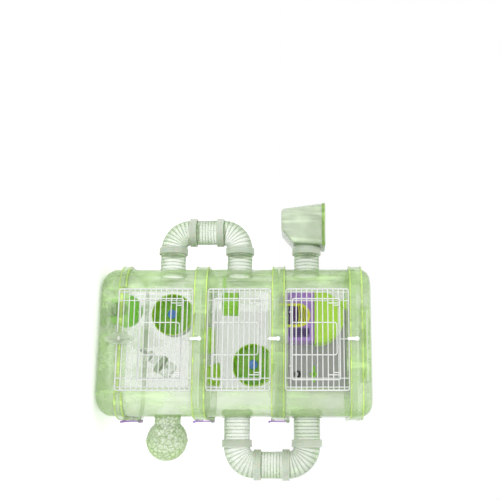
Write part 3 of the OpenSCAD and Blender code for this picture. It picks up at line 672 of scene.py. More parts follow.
def add_parts(piece, parts, ink=0):
    """Adds more closed surfaces to a finished piece's mesh, in one of its materials."""
    verts, faces, _ = join([outward(part) for part in parts])
    old = piece.data
    count = len(old.vertices)
    base = np.empty(count * 3)
    old.vertices.foreach_get("co", base)
    all_faces = [list(polygon.vertices) for polygon in old.polygons] + [[i + count for i in f] for f in faces]
    old_inks = np.empty(len(old.polygons), int)
    old.polygons.foreach_get("material_index", old_inks)
    mesh = bpy.data.meshes.new(piece.name)
    mesh.from_pydata(np.vstack([base.reshape(-1, 3), verts]).tolist(), [], all_faces)
    for material in old.materials:
        mesh.materials.append(material)
    mesh.polygons.foreach_set("material_index", old_inks.tolist() + [ink] * len(faces))
    piece.data = mesh
    mesh.validate()
    mesh.shade_smooth()
    mesh.set_sharp_from_angle(angle=math.radians(SHARP_DEGREES))


def build_base():
    """The tray that the tower stands on, with a rounded underside and a notched band."""
    clear, lip = MATERIALS["clear_green"], MATERIALS["clear_lime"]
    low, high, edge = 44 * MM, highest("base_tray")[2], 34 * MM
    bend = arc((-edge, edge), edge, -90, 0, 12)
    inner = arc((-edge, edge), edge - WALL, 0, -90, 12)
    rows = [*bend, (0, low), *band_rows(low, high), (FIT_GAP, high), (FIT_GAP, BASE_TOP),
            (-WALL, BASE_TOP), *inner]
    ink = [0] * 12 + [1] + BAND_INKS + [1, 0, 1] + [0] * 12
    piece = make("base_tray", [surface(around_tower(rows, 20), caps=(True, True), ink=ink)],
                 [clear, lip], None)
    notch = block((-103 * MM, -HALF_D - 10 * MM, low - 2 * MM), (103 * MM, -HALF_D, high + 2 * MM))
    cut(piece, [cutter("notch", notch)])
    settle(piece, "cage", ["base_tray"])


def build_floors():
    """The storey floors, each in one piece with the band around it."""
    clear, lip = MATERIALS["clear_green"], MATERIALS["clear_lime"]
    for i, node in enumerate(FLOORS):
        low, high, z = lowest(node)[2], highest(node)[2], JOINT_Z[i + 1]
        gap = FIT_GAP
        rows = [(gap, z - FLOOR_T / 2), (gap, low), *band_rows(low, high), (gap, high),
                (gap, z + FLOOR_T / 2)]
        ink = [0, 1] + BAND_INKS + [1, 0]
        part = surface(around_tower(rows, 20), caps=(True, True), ink=ink)
        make(node, [part], [clear, lip], "cage", [node])


def build_cap():
    """The domed cap with the pocket that the carry handle lies in."""
    clear, lip = MATERIALS["clear_green"], MATERIALS["clear_lime"]
    low, edge = lowest("top_cap")[2], 22 * MM
    high = 2 * JOINT_Z[3] - low
    centre = (-edge, TOP_Z - edge)
    inner = arc(centre, edge - WALL, 90, 0, 12)
    dome = arc(centre, edge, math.degrees(math.asin((high - TOP_Z + edge) / edge)), 90, 12)
    gap = FIT_GAP
    rows = [*inner, (-WALL, JOINT_Z[3]), (gap, JOINT_Z[3]), (gap, low), *band_rows(low, high),
            *dome]
    ink = [0] * 12 + [1, 0, 1] + BAND_INKS + [1] + [0] * 11
    piece = make("top_cap", [surface(around_tower(rows, 20), caps=(True, True), ink=ink)],
                 [clear, lip], None)
    x, y, half_y = 76 * MM, -7 * MM, 30 * MM
    bottom = 531 * MM
    hole = rounded_rect(x + WALL / 2, half_y + WALL / 2, 7 * MM, 8) + [0, y]
    cut(piece, [cutter("pocket", prism(hole, bottom + 4 * MM, TOP_Z + 5 * MM, "z"))])
    levels = [(WALL, bottom - WALL), (WALL, TOP_Z - 0.5 * MM), (WALL - 0.6 * MM, TOP_Z),
              (0, TOP_Z - 0.2 * MM), (0, bottom)]
    tray = np.array([np.column_stack([rounded_rect(x + g, half_y + g, 6 * MM + g, 8) + [0, y],
                                      np.full(32, z)])
                     for g, z in levels])
    add_parts(piece, [surface(tray, caps=(True, True))])
    settle(piece, "cage", ["top_cap"])


def build_handle():
    """The carry handle: an oval bar bent to a U, with an eye at each end, on two pins."""
    lime, white = MATERIALS["lime_plastic"], MATERIALS["white_plastic"]
    pivot = np.array([64 * MM, 14 * MM, TOP_Z - 7 * MM])
    front = lowest("carry_handle")[1] + 4 * MM
    bend = 12 * MM
    corner = arc((pivot[0] - bend, front + bend), bend, 0, -90, 10)
    right = np.vstack([[(pivot[0], pivot[1])], corner])
    flat = np.vstack([right, (right * [-1, 1])[::-1]])
    path = np.column_stack([flat, np.full(len(flat), pivot[2])])
    verts, faces, inks = sweep(path, 4 * MM, (0, 0, 1), 16)
    verts = verts * [1, 1, 0.625] + [0, 0, pivot[2] * 0.375]
    eyes = [cylinder(5 * MM, -4 * MM, 4 * MM, pivot * [s, 1, 1], "x", 32, 1 * MM) for s in (-1, 1)]
    make("carry_handle", [(verts, faces, inks), *eyes], [lime], "carry_handle", ["carry_handle"])
    pins = [rod((s * 58 * MM, pivot[1], pivot[2]), (s * 76 * MM, pivot[1], pivot[2]), 2.5 * MM,
                24) for s in (-1, 1)]
    make("handle_pins", pins, [white], "cage", ["handle_pins"])


# ---------------------------------------------------------------- wires

def rod(start, end, radius, steps=8):
    """A straight round rod with softened ends: the radius falls away over the last part of its length."""
    start, end = np.asarray(start, float), np.asarray(end, float)
    length = np.linalg.norm(end - start)
    ahead = (end - start) / length
    t = np.array([0, 0.35 * radius, radius, length - radius, length - 0.35 * radius, length])
    side = np.cross(ahead, (0, 0, 1) if abs(ahead[2]) < 0.9 else (0, 1, 0))
    side /= np.linalg.norm(side)
    r = radius * np.array([0.45, 0.8, 1, 1, 0.8, 0.45])
    a = turn(steps)
    across = np.cos(a)[:, None] * side + np.sin(a)[:, None] * np.cross(ahead, side)
    points = start + t[:, None, None] * ahead + r[:, None, None] * across
    return surface(points, caps=(True, True))


def wire_rect(half_w, y, low, high, radius, corner=4 * MM):
    """A closed wire rectangle with bent corners, in the plane of the front."""
    flat = rounded_rect(half_w, (high - low) / 2, corner, 6)
    path = np.column_stack([flat[:, 0], np.full(len(flat), y), flat[:, 1] + (low + high) / 2])
    return sweep(path, radius, (0, 1, 0), 10, closed=True)


def front_levels(i):
    """Heights of a wire front: its low and high frame wires, the cross wires between, sill and lintel index."""
    node = f"{STOREYS[i]}_grille"
    low, high = lowest(node)[2] + FRAME_WIRE_R, highest(node)[2] - FRAME_WIRE_R
    gaps = math.ceil((high - low) / WIRE_STEP)
    return low, high, np.linspace(low, high, gaps + 1), SILL_STEP[i], gaps - 2


def build_fronts():
    """The three welded wire fronts."""
    white = MATERIALS["white_wire"]
    for i, storey in enumerate(STOREYS):
        low, high, levels, sill, lintel = front_levels(i)
        parts = [wire_rect(99 * MM, FRAME_Y, low, high, FRAME_WIRE_R, 5 * MM)]
        parts += [rod((x * MM, UPRIGHT_Y, low), (x * MM, UPRIGHT_Y, high),
                      WIRE_R) for x in (-93, -76, 76, 93)]
        parts.append(rod((0, UPRIGHT_Y, levels[lintel]), (0, UPRIGHT_Y, high), WIRE_R))
        for k, z in enumerate(levels[1:-1], 1):
            spans = [(-99, 99)] if k <= sill or k >= lintel else [(-99, -74.5), (74.5, 99)]
            parts += [rod((a * MM, CROSS_Y, z), (b * MM, CROSS_Y, z), WIRE_R) for a, b in spans]
        node = f"{storey}_grille"
        make(node, parts, [white], "cage", [node])


def build_doors():
    """The three drop-down wire doors, each with a bent stiffener, hinge loops and two spring hooks."""
    white = MATERIALS["white_wire"]
    for i, storey in enumerate(STOREYS):
        levels, sill, lintel = front_levels(i)[2:]
        low, high = levels[sill] + 2.8 * MM, levels[lintel] + 2.6 * MM
        parts = [wire_rect(79 * MM, DOOR_Y, low, high, 1.2 * MM, 3 * MM)]
        parts += [rod((-79 * MM, DOOR_Y, z), (79 * MM, DOOR_Y, z),
                      WIRE_R) for z in levels[sill + 1:lintel]]
        top, half = high - 6 * MM, 31.6 * MM
        bend = arc((half - 5 * MM, top - 5 * MM), 5 * MM, 0, 90, 6)
        right = np.vstack([[(half, low)], bend])
        flat = np.vstack([right, (right * [-1, 1])[::-1]])
        path = np.column_stack([flat[:, 0], np.full(len(flat), STIFFENER_Y), flat[:, 1]])
        parts.append(sweep(path, WIRE_R, (0, 1, 0)))
        for s in (-1, 1):
            loop = arc((CROSS_Y, levels[sill]), 2.5 * MM, 0, 345, 24)
            path = np.column_stack([np.full(24, s * 52.7 * MM), loop])
            parts.append(sweep(path, WIRE_R, (1, 0, 0), closed=True))
            parts.append(hook(s * 70 * MM, high))
        node = f"{storey}_door"
        make(node, parts, [white], node, [node])


def hook(x, top):
    """A spring hook: the wire runs up, turns over in a narrow bend and comes part of the way down."""
    inner = -math.copysign(2.2 * MM, x)
    bend = arc((0, top - 2.2 * MM), 2.2 * MM, 0, 180, 8)
    flat = np.vstack([[(2.2 * MM, top - 23 * MM)], bend, [(-2.2 * MM, top - 13 * MM)]])
    columns = x + inner - flat[:, 0] * math.copysign(1, inner)
    return sweep(np.column_stack([columns, np.full(len(flat), STIFFENER_Y), flat[:, 1]]), WIRE_R,
                 (0, 1, 0))


def build_clips():
    """The white clips on the bands, the lens-shaped turn clip on the base and its pin."""
    white, clear = MATERIALS["white_plastic"], MATERIALS["clear_pod"]
    face = -HALF_D - BAND_PROUD
    parts = []
    for z in JOINT_Z[1:]:
        parts.append(cylinder(3.5 * MM, face - 3 * MM, face, (0, 0, z), "y", 24))
        plate = rounded_rect(3 * MM, 10.5 * MM, 2 * MM, 5) + [0, z - 7.5 * MM]
        parts.append(prism(plate, face - 4.5 * MM, face - 2.5 * MM))
        parts.append(cylinder(4.5 * MM, face - 5.5 * MM, face - 2.5 * MM, (0, 0, z), "y", 32,
                              0.8 * MM))
    make("grille_clips", parts, [white], "cage", ["grille_clips"])
    lo, hi = lowest("turn_clip"), highest("turn_clip")
    z, half_w, half_h = (lo[2] + hi[2]) / 2, hi[0], (hi[2] - lo[2]) / 2
    radius = (half_h ** 2 + half_w ** 2) / (2 * half_w)
    reach = math.degrees(math.asin(half_h / radius)) * 0.985
    right = arc((half_w - radius, z), radius, -reach, reach, 20)
    lens = np.vstack([right, (right * [-1, 1])[::-1]])
    plate = prism(lens, hi[1] - 5.8 * MM, hi[1] - 3.2 * MM)
    hub = cylinder(7 * MM, hi[1] - 8 * MM, hi[1], (0, 0, z), "y", 40, 0.5 * MM)
    grip = prism(rounded_rect(1.5 * MM, 21 * MM, 1.4 * MM, 4) + [0, z], hi[1] - 12 * MM,
                 hi[1] - 5 * MM)
    piece = make("turn_clip", [plate, hub, grip], [clear], "turn_clip", ["turn_clip"])
    bevel(piece, 0.5 * MM, 2)
    pin = cylinder(3 * MM, hi[1] - 10 * MM, -HALF_D, (0, 0, z), "y", 32, 0.4 * MM)
    make("turn_clip_pin", [pin], [white], "cage", ["turn_clip_pin"])


def build_latches():
    """The lavender side latches: a barrel, a plate with a curled foot and a hook, on steel pins."""
    lavender, steel = MATERIALS["lavender_plastic"], MATERIALS["pin_steel"]
    pins = []
    for storey in STOREYS:
        node = f"{storey}_latch"
        x, z = highest("latch_pins")[0] - 1.5 * MM, highest(node)[2] - 3.5 * MM
        y = 11 * MM
        side = [(x - 1.3 * MM, z), (x - 1.3 * MM, z - 38 * MM), (x, z - 39 * MM),
                (x + 1.3 * MM, z - 38 * MM),
                (x + 1.3 * MM, z)]
        parts = [cylinder(3.5 * MM, -y, y, (x, 0, z), "y", 32, 0.5 * MM),
                 prism(np.array(side), -y, y),
                 cylinder(2 * MM, -y, y, (x + 1.5 * MM, 0, z - 38 * MM), "y", 24, 0.5 * MM)]
        parts.append(block((HALF_W + 1.5 * MM, -y, z - 34.3 * MM), (x, y, z - 31.3 * MM)))
        parts += [cylinder(0.7 * MM, -y + 2 * MM, y - 2 * MM, (x + 1.5 * MM, 0, z - k * MM), "y",
                           12) for k in (24, 28, 32)]
        make(node, parts, [lavender], node, [node])
        pins.append(rod((x, -14.3 * MM, z), (x, 14.3 * MM, z), 1.5 * MM, 16))
    make("latch_pins", pins, [steel], "cage", ["latch_pins"])


# ---------------------------------------------------------------- tubes, pod and ball

def ridged(low, high, pitch, radius, depth):
    """Profile of raised rings between narrow grooves, which repeat at a pitch. Returns the rows, and for each
    the material of the faces that follow it: the grooves are in the second, a darker one that paints shade into
    them."""
    count = max(1, round((high - low) / pitch))
    pitch = (high - low) / count
    t = low + pitch * (np.arange(count)[:, None] + np.array([0, 0.14, 0.22, 0.34, 0.8])).ravel()
    r = np.tile([radius, radius - 0.85 * depth, radius - depth, radius, radius], count)
    return np.column_stack([r, t]), np.tile([1, 1, 1, 0, 0], count).tolist()


def stub(side, z, inside, ring_depth):
    """A short ridged tube from inside the wall to its ring, with a flange against the wall."""
    start = HALF_W - WALL - inside
    inner = TUBE_R - TUBE_WALL
    outer = [(TUBE_R, start), (TUBE_R, HALF_W), (TUBE_R + 3 * MM, HALF_W),
             (TUBE_R + 3 * MM, HALF_W + 1.5 * MM),
             (TUBE_R + 2.5 * MM, HALF_W + 2 * MM), (TUBE_R, HALF_W + 2 * MM)]
    ridges, inks = ridged(HALF_W + 3 * MM, RING_X - RING_HALF, 6.5 * MM, TUBE_R, ring_depth)
    tail = [(TUBE_R, RING_X - 0.5 * MM), (TUBE_R - 0.5 * MM, RING_X), (inner, RING_X),
            (inner, start)]
    rows = np.array([*outer, *ridges, *tail])
    rows[:, 1] *= side
    return revolve(rows, (0, 0, z), "x", 72, ink=[0, 1, 1, 1, 1, 0] + inks + [0] * 4)


def pipe(path, outer, inner, normal, inks, steps=72):
    """A tube with a wall along a path: the outer rings forwards, then the inner rings back."""
    path, normal = np.asarray(path, float), np.asarray(normal, float)
    ahead = np.gradient(path, axis=0)
    side = np.cross(ahead, normal)
    side /= np.linalg.norm(side, axis=1)[:, None]
    a = turn(steps)
    around = np.cos(a)[None, :, None] * side[:, None, :] + np.sin(a)[None, :, None] * normal
    rings = [path[:, None, :] + np.broadcast_to(r, (len(path),))[:, None,
                                                                 None] * around for r in (outer,
                                                                                          inner)]
    return surface(np.concatenate([rings[0], rings[1][::-1]]), wrap_rows=True,
                   ink=inks + [0] * len(path))


def elbow(side, z, rise, depth, pleats):
    """A quarter bend from a level ring to an upright one, pleated by narrow grooves across it, which take the
    darker second material as painted shade.
    """
    steps = 12
    t = np.linspace(0, 1, pleats * steps + 1)
    a = t * math.pi / 2
    phase = (t * pleats) % 1
    level = LOOP_X - ELBOW_R
    x = np.concatenate([[RING_X, RING_X + 4 * MM], level + ELBOW_R * np.sin(a), [LOOP_X, LOOP_X]])
    h = np.concatenate([[0, 0], ELBOW_R * (1 - np.cos(a)),
                        [ELBOW_R + 0.5 * MM, ELBOW_R + RING_LEAD]])
    path = np.column_stack([side * x, np.zeros(len(x)), z + rise * h])
    groove = np.clip(1 - np.abs(phase - 0.5) / 0.17, 0, 1)
    radius = TUBE_R - depth * np.concatenate([[0, 0], groove, [0, 0]])
    inks = [0, 0] + (groove > 0).astype(int).tolist() + [0, 0]
    return pipe(path, radius, TUBE_R - TUBE_WALL, (0, 1, 0), inks[:-1])


def loop_nodes(side):
    """The name, port heights and inside length of a loop's pieces."""
    name = "left" if side < 0 else "right"
    i = 0 if side < 0 else 1
    return name, PORT_Z[i], PORT_Z[i + 1], (3 if side < 0 else 14) * MM


def build_tubes(look):
    """The stubs, elbows and straight tubes of both loops, and the stub that carries the pod."""
    # The second material paints shade into the grooves: darker and denser than the clear tube, so the rings show.
    clear = [MATERIALS["clear_tube"], MATERIALS["groove_painted_shade"]]
    depth = look.tube_ridge
    for side in (-1, 1):
        name, low, high, inside = loop_nodes(side)
        for level, z, rise in (("lower", low, 1), ("upper", high, -1)):
            node = f"{name}_{level}_stub"
            make(node, [stub(side, z, inside, depth)], clear, "cage", [node])
            node = f"{name}_{level}_elbow"
            make(node, [elbow(side, z, rise, depth, look.pleats)], clear, "cage", [node])
        node = f"{name}_middle_tube"
        start, end = low + ELBOW_R + RING_LEAD, high - ELBOW_R - RING_LEAD
        inner = TUBE_R - TUBE_WALL
        ridges, inks = ridged(start + RING_HALF, end - RING_HALF, 6.5 * MM, TUBE_R, depth)
        rows = [(inner, end), (inner, start), (TUBE_R - 0.4 * MM, start),
                (TUBE_R, start + 0.4 * MM),
                *ridges, (TUBE_R, end - 0.4 * MM), (TUBE_R - 0.4 * MM, end)]
        tube = revolve(rows, (side * LOOP_X, 0, 0), "z", 72, ink=[0] * 4 + inks + [0, 0])
        make(node, [tube], clear, "cage", [node])
    make("pod_stub", [stub(-1, PORT_Z[2], 3 * MM, depth)], clear, "cage", ["pod_stub"])


def ring(at, axis, look):
    """A connecting ring: rounded shoulders, a shallow waist with two grooves, and grip ribs around it."""
    inner, outer, half = TUBE_R + 0.3 * MM, RING_R - 0.25 * MM, RING_HALF
    e, dip = 1.4 * MM, 0.5 * MM
    rows = [(inner, -half), (outer - e, -half), (outer - 0.3 * e, -half + 0.35 * e),
            (outer, -half + e),
            (outer, -3.4 * MM), (outer - dip, -3 * MM), (outer - dip, -2.2 * MM),
            (outer, -1.8 * MM),
            (outer, 1.8 * MM), (outer - dip, 2.2 * MM), (outer - dip, 3 * MM), (outer, 3.4 * MM),
            (outer, half - e), (outer - 0.3 * e, half - 0.35 * e), (outer - e, half), (inner, half)]
    return revolve(rows, at, axis, 144, ripple=lambda a: 1 + look.ring_grip * np.cos(36 * a))


def build_rings(look):
    """The frosted connecting rings of the loops and of the pod's neck."""
    frosted = MATERIALS["frosted_white"]
    for side in (-1, 1):
        name, low, high, _ = loop_nodes(side)
        parts = [ring((side * RING_X, 0, z), "x", look) for z in (low, high)]
        parts += [ring((side * LOOP_X, 0, z), "z", look) for z in (low + ELBOW_R + RING_LEAD,
                                                                   high - ELBOW_R - RING_LEAD)]
        make(f"{name}_rings", parts, [frosted], "cage", [f"{name}_rings"])
    make("pod_ring", [ring((-RING_X, 0, PORT_Z[2]), "x", look)], [frosted], "cage", ["pod_ring"])
    lo, hi = lowest("wall_nuts")[0], highest("wall_nuts")[0]
    parts = []
    for z in PORT_Z[1:]:
        r0, r1 = TUBE_R + 0.2 * MM, TUBE_R + 4.7 * MM
        rows = [(r0, lo), (r1 - 1 * MM, lo), (r1, lo + 1 * MM), (r1, hi - 1 * MM),
                (r1 - 1 * MM, hi), (r0, hi)]
        parts.append(revolve(rows, (0, 0, z), "x", 144,
                             ripple=lambda a: 1 + 0.006 * np.cos(18 * a)))
    make("wall_nuts", parts, [frosted], "cage", ["wall_nuts"])


def hull_outline(corners, radius, steps=96):
    """Outline of the round-cornered shape around some corner points: for each direction, the farthest
    corner moved out by the radius."""
    a = turn(steps)
    away = np.column_stack([np.cos(a), np.sin(a)])
    corners = np.asarray(corners)
    far = corners[np.argmax(away @ corners.T, axis=1)]
    return far + radius * away


def pod_shape(inset, edge, half_depth):
    """The pod's solid: its outline carried across the depth, drawn in along a rounded edge at both ends."""
    left, right = lowest("pod_body")[0], POD_RIGHT
    low, top = lowest("pod_body")[2], highest("pod_body")[2] + 9 * MM
    corners = np.array([(left + 9 * MM, top - 9 * MM), (right - 9 * MM, top - 9 * MM),
                        (left + 20 * MM, low + 9 * MM),
                        (right - 36 * MM, low + 9 * MM), (right - 11 * MM, low + 30 * MM)])
    a = np.linspace(0, math.pi / 2, 7)
    draw = np.concatenate([edge * (1 - np.sin(a)), edge * (1 - np.cos(a))])
    y = np.concatenate([-half_depth + edge * (1 - np.cos(a)), half_depth - edge * (1 - np.sin(a))])
    rings = [hull_outline(corners, 9 * MM - inset - d) for d in draw]
    return surface(np.array([np.column_stack([r[:, 0], np.full(len(r), t), r[:, 1]]) for r,
                             t in zip(rings, y)]),
                   caps=(True, True))


def build_pod():
    """The lookout pod: a clear wedge with a neck, its hinged lid and the lid's pin."""
    clear, lip, tinted = MATERIALS["clear_pod"], MATERIALS["clear_lime"], MATERIALS["clear_lid"]
    half = highest("pod_body")[1]
    top = lowest("pod_lid")[2]
    left, right = lowest("pod_body")[0], POD_RIGHT
    body = make("pod_body", [pod_shape(0, 5 * MM, half)], [clear, lip], None)
    over = block((left - 9 * MM, -half - 9 * MM, top),
                 (right + 9 * MM, half + 9 * MM, top + 30 * MM))
    bore = cylinder(TUBE_R - TUBE_WALL, -right - 20 * MM, -right + 20 * MM,
                    (2 * right, 0, PORT_Z[2]), "x", 72)
    cut(body,
        [cutter("inside", pod_shape(WALL, 4 * MM, half - WALL), ink=0), cutter("over", over),
         cutter("bore", bore)])
    rows = [(TUBE_R, right - 2 * MM), (TUBE_R, -RING_X - 0.2 * MM),
            (TUBE_R - TUBE_WALL, -RING_X - 0.2 * MM),
            (TUBE_R - TUBE_WALL, right - 2 * MM)]
    add_parts(body, [revolve(rows, (0, 0, PORT_Z[2]), "x", 72)])
    settle(body, "cage", ["pod_body"])
    lo, hi = lowest("pod_lid"), highest("pod_lid")
    x, half_x, y = (lo[0] + hi[0]) / 2, (hi[0] - lo[0]) / 2, -lo[1]
    levels = [(-2 * MM, hi[2] - WALL), (-2 * MM, lo[2] + 0.4 * MM), (-1.4 * MM, lo[2]),
              (-0.4 * MM, lo[2]),
              (0, lo[2] + 0.5 * MM), (0, hi[2] - 2 * MM), (-0.6 * MM, hi[2] - 0.6 * MM),
              (-2 * MM, hi[2]),
              (-8 * MM, hi[2]), (-9 * MM, hi[2] - 0.8 * MM)]
    rings = np.array([np.column_stack([rounded_rect(half_x + g, y + g, 10 * MM + g, 10) + [x, 0],
                                       np.full(40, z)])
                      for g, z in levels])
    parts = [surface(rings, caps=(True, True))]
    hinge_y, hinge_z = hi[1] - 3 * MM, lo[2] + 4 * MM
    parts.append(block((left + 12 * MM, y - 4 * MM, hinge_z - 2.5 * MM),
                       (right - 12 * MM, hinge_y, hinge_z + 2.5 * MM)))
    parts.append(cylinder(3 * MM, left + 12 * MM, right - 12 * MM, (0, hinge_y, hinge_z), "x", 32,
                          0.4 * MM))
    make("pod_lid", parts, [tinted], "pod_lid", ["pod_lid"])
    parts = [rod((left + 8 * MM, hinge_y, hinge_z), (right - 8 * MM, hinge_y, hinge_z), 1 * MM, 16)]
    for start in (left + 8.5 * MM, right - 11.5 * MM):
        outline = np.vstack([[(half, hinge_z - 16 * MM), (half, hinge_z - 8 * MM),
                              (hinge_y - 3 * MM, hinge_z - 7 * MM)],
                             arc((hinge_y, hinge_z), 3 * MM, 180, 0, 12),
                             [(hinge_y + 3 * MM, hinge_z - 14 * MM)],
                             [(hinge_y, hinge_z - 16 * MM)]])
        parts.append(prism(outline, start, start + 3 * MM, "x"))
    make("pod_hinge_pin", parts, [clear], "cage", ["pod_hinge_pin"])


def dimple(part, centre, radius, depth):
    """Presses a diamond pattern of shallow dimples into the outer skin of a ball about its X axis."""
    verts, faces, inks = part
    away = verts - centre
    distance = np.linalg.norm(away, axis=1)
    azimuth = np.arctan2(away[:, 2], away[:, 1])
    polar = np.arccos(np.clip(away[:, 0] / distance, -1, 1))
    skin = np.clip(1 - np.abs(distance - radius) / (0.5 * MM), 0, 1)
    press = np.clip(np.cos(9 * azimuth) * np.sin(9 * polar), 0, 1) * np.sin(polar) ** 2
    return verts - away * (depth / radius * skin * press)[:, None], faces, inks


def build_ball(look):
    """The two dimpled halves of the play ball; the inner one has its neck through the wall."""
    clear = MATERIALS["clear_ball"]
    centre = np.array([lowest("ball_cap_half")[0], 0, PORT_Z[0]])
    radius = highest("ball_cap_half")[0] - centre[0]
    shell, flange, thick = radius - TUBE_WALL, radius + 1.5 * MM, 3 * MM
    outer = arc((0, centre[0]), radius, 0, 90, 48)
    inner = arc((0, centre[0]), shell, 90, 0, 32)
    rows = [(flange, centre[0]), (flange, centre[0] + thick),
            *outer[outer[:, 1] > centre[0] + thick], *inner[:-1],
            (shell, centre[0])]
    cap = dimple(revolve(rows, (0, 0, centre[2]), "x", 128, closed=True), centre, radius,
                 look.ball_dimple)
    make("ball_cap_half", [cap], [clear], "cage", ["ball_cap_half"], 30)
    neck = TUBE_R - TUBE_WALL
    start = lowest("ball_neck_half")[0]
    out_angle = math.degrees(math.asin(TUBE_R / radius))
    in_angle = math.degrees(math.asin(neck / shell))
    outer = arc((0, centre[0]), radius, -90 + out_angle, -2, 40)
    inner = arc((0, centre[0]), shell, 0, -90 + in_angle, 32)
    outer = outer[outer[:, 1] < centre[0] - thick]
    rows = [(neck, start), (TUBE_R, start), *outer, (radius, centre[0] - thick),
            (flange, centre[0] - thick),
            (flange, centre[0] - 0.2 * MM), *inner]
    half = dimple(revolve(rows, (0, 0, centre[2]), "x", 128), centre, radius, look.ball_dimple)
    make("ball_neck_half", [half], [clear], "cage", ["ball_neck_half"], 30)


# ---------------------------------------------------------------- wheels and furniture

def wheel_frame(node):
    """A wheel's middle, its front and back and its radius."""
    lo, hi = lowest(node), highest(node)
    return (lo + hi) / 2, lo[1], hi[1], (hi[0] - lo[0]) / 2


def build_wheels(look):
    """The two running wheels: a ribbed drum, a back disc with spokes, a hub tube; and their blue caps."""
    green, blue, lime = MATERIALS["green_plastic"], MATERIALS["blue_plastic"], MATERIALS["lime_plastic"]
    caps = []
    for storey in ("lower", "middle"):
        node = f"{storey}_wheel"
        at, front, back, radius = wheel_frame(node)
        spot = (at[0], 0, at[2])
        rim = [(radius - 2 * MM, front + 0.6 * MM), (radius - 1.2 * MM, front),
               (radius - 0.4 * MM, front + 0.2 * MM),
               (radius, front + 0.8 * MM), (radius, front + 4 * MM),
               (radius - 0.9 * MM, front + 5 * MM),
               (radius - 0.9 * MM, back - 4 * MM), (radius, back - 3 * MM),
               (radius, back - 0.8 * MM),
               (radius - 0.8 * MM, back), (0.7 * radius, back - 0.1 * MM),
               (0.66 * radius, back - 0.9 * MM),
               (0.4 * radius, back - 0.9 * MM), (0.36 * radius, back), (6 * MM, back),
               (6 * MM, back - 2.5 * MM),
               (0.4 * radius, back - 2.5 * MM), (radius - 4 * MM, back - 2.5 * MM),
               (radius - 2 * MM, back - 4.5 * MM)]
        drum = revolve(rim, spot, "y", 144,
                       ink=[1] * 5 + [2 if storey == "lower" else 1] * 4 + [0] * 8 + [1, 1])
        parts = [drum,
                 revolve([(4.1 * MM, front), (7.4 * MM, front), (8 * MM, front + 0.6 * MM),
                          (8 * MM, back - 1 * MM),
                                (4.1 * MM, back - 1 * MM)], spot, "y", 48)]
        for a in turn(look.spokes):
            parts.append(painted(spoke(spot, a, 7.6 * MM, radius - 1.6 * MM, back - 5 * MM,
                                       back - 2.2 * MM), 1))
        for a in turn(look.rungs):
            reach = np.array([math.sin(a), 0, math.cos(a)]) * (radius - 2 * MM)
            base = np.array(spot) + reach
            parts.append(painted(rod(base + [0, front + 1 * MM, 0], base + [0, back - 2.6 * MM, 0],
                                     0.8 * MM, 6), 1))
        make(node, parts, [green, lime, MATERIALS["frosted_white"]], node, [node])
        r, tip = 10 * MM, lowest("hub_caps")[1]
        dome = [(0, tip), (0.45 * r, tip + 0.2 * MM), (0.8 * r, tip + 0.9 * MM),
                (r - 0.3 * MM, tip + 2.2 * MM),
                (r, tip + 3 * MM), (r, tip + 5.6 * MM), (r - 0.4 * MM, tip + 6 * MM),
                (0, tip + 6 * MM)]
        caps.append(revolve(dome, spot, "y", 64, closed=False))
        stand = f"{storey}_wheel_stand"
        wall = highest(stand)[1]
        foot = [(0, wall), (20 * MM, wall), (20 * MM, wall - 3 * MM), (19 * MM, wall - 4 * MM),
                (11 * MM, wall - 4 * MM),
                (9 * MM, wall - 6 * MM), (9 * MM, back + 0.3 * MM), (4 * MM, back + 0.3 * MM),
                (4 * MM, front - 0.3 * MM), (0, front - 0.3 * MM)]
        make(stand, [revolve(foot, spot, "y", 64, closed=False)], [MATERIALS["white_plastic"]],
             "cage", [stand])
    make("hub_caps", caps, [blue], "cage", ["hub_caps"])


def painted(part, ink):
    """The same surface in another of the piece's materials."""
    verts, faces, inks = part
    return verts, faces, [ink] * len(inks)


def spoke(at, angle, start, end, front, back):
    """A raised rib on a wheel's disc, from the hub out to the drum."""
    across, along = 1.1 * MM, np.array([start, end])
    local = np.array([[(-across, r, front), (across, r, front), (across, r, back),
                       (-across, r, back)] for r in along])
    s, c = math.sin(angle), math.cos(angle)
    x = at[0] + local[..., 0] * c + local[..., 1] * s
    z = at[2] - local[..., 0] * s + local[..., 1] * c
    return surface(np.stack([x, local[..., 2], z], -1), caps=(True, True))


def arch_outline(x, z, foot, radius, steps=24):
    """An arched doorway's outline: a half circle on straight sides."""
    return np.vstack([arc((x, z), radius, 0, 180, steps), [(x - radius, foot), (x + radius, foot)]])


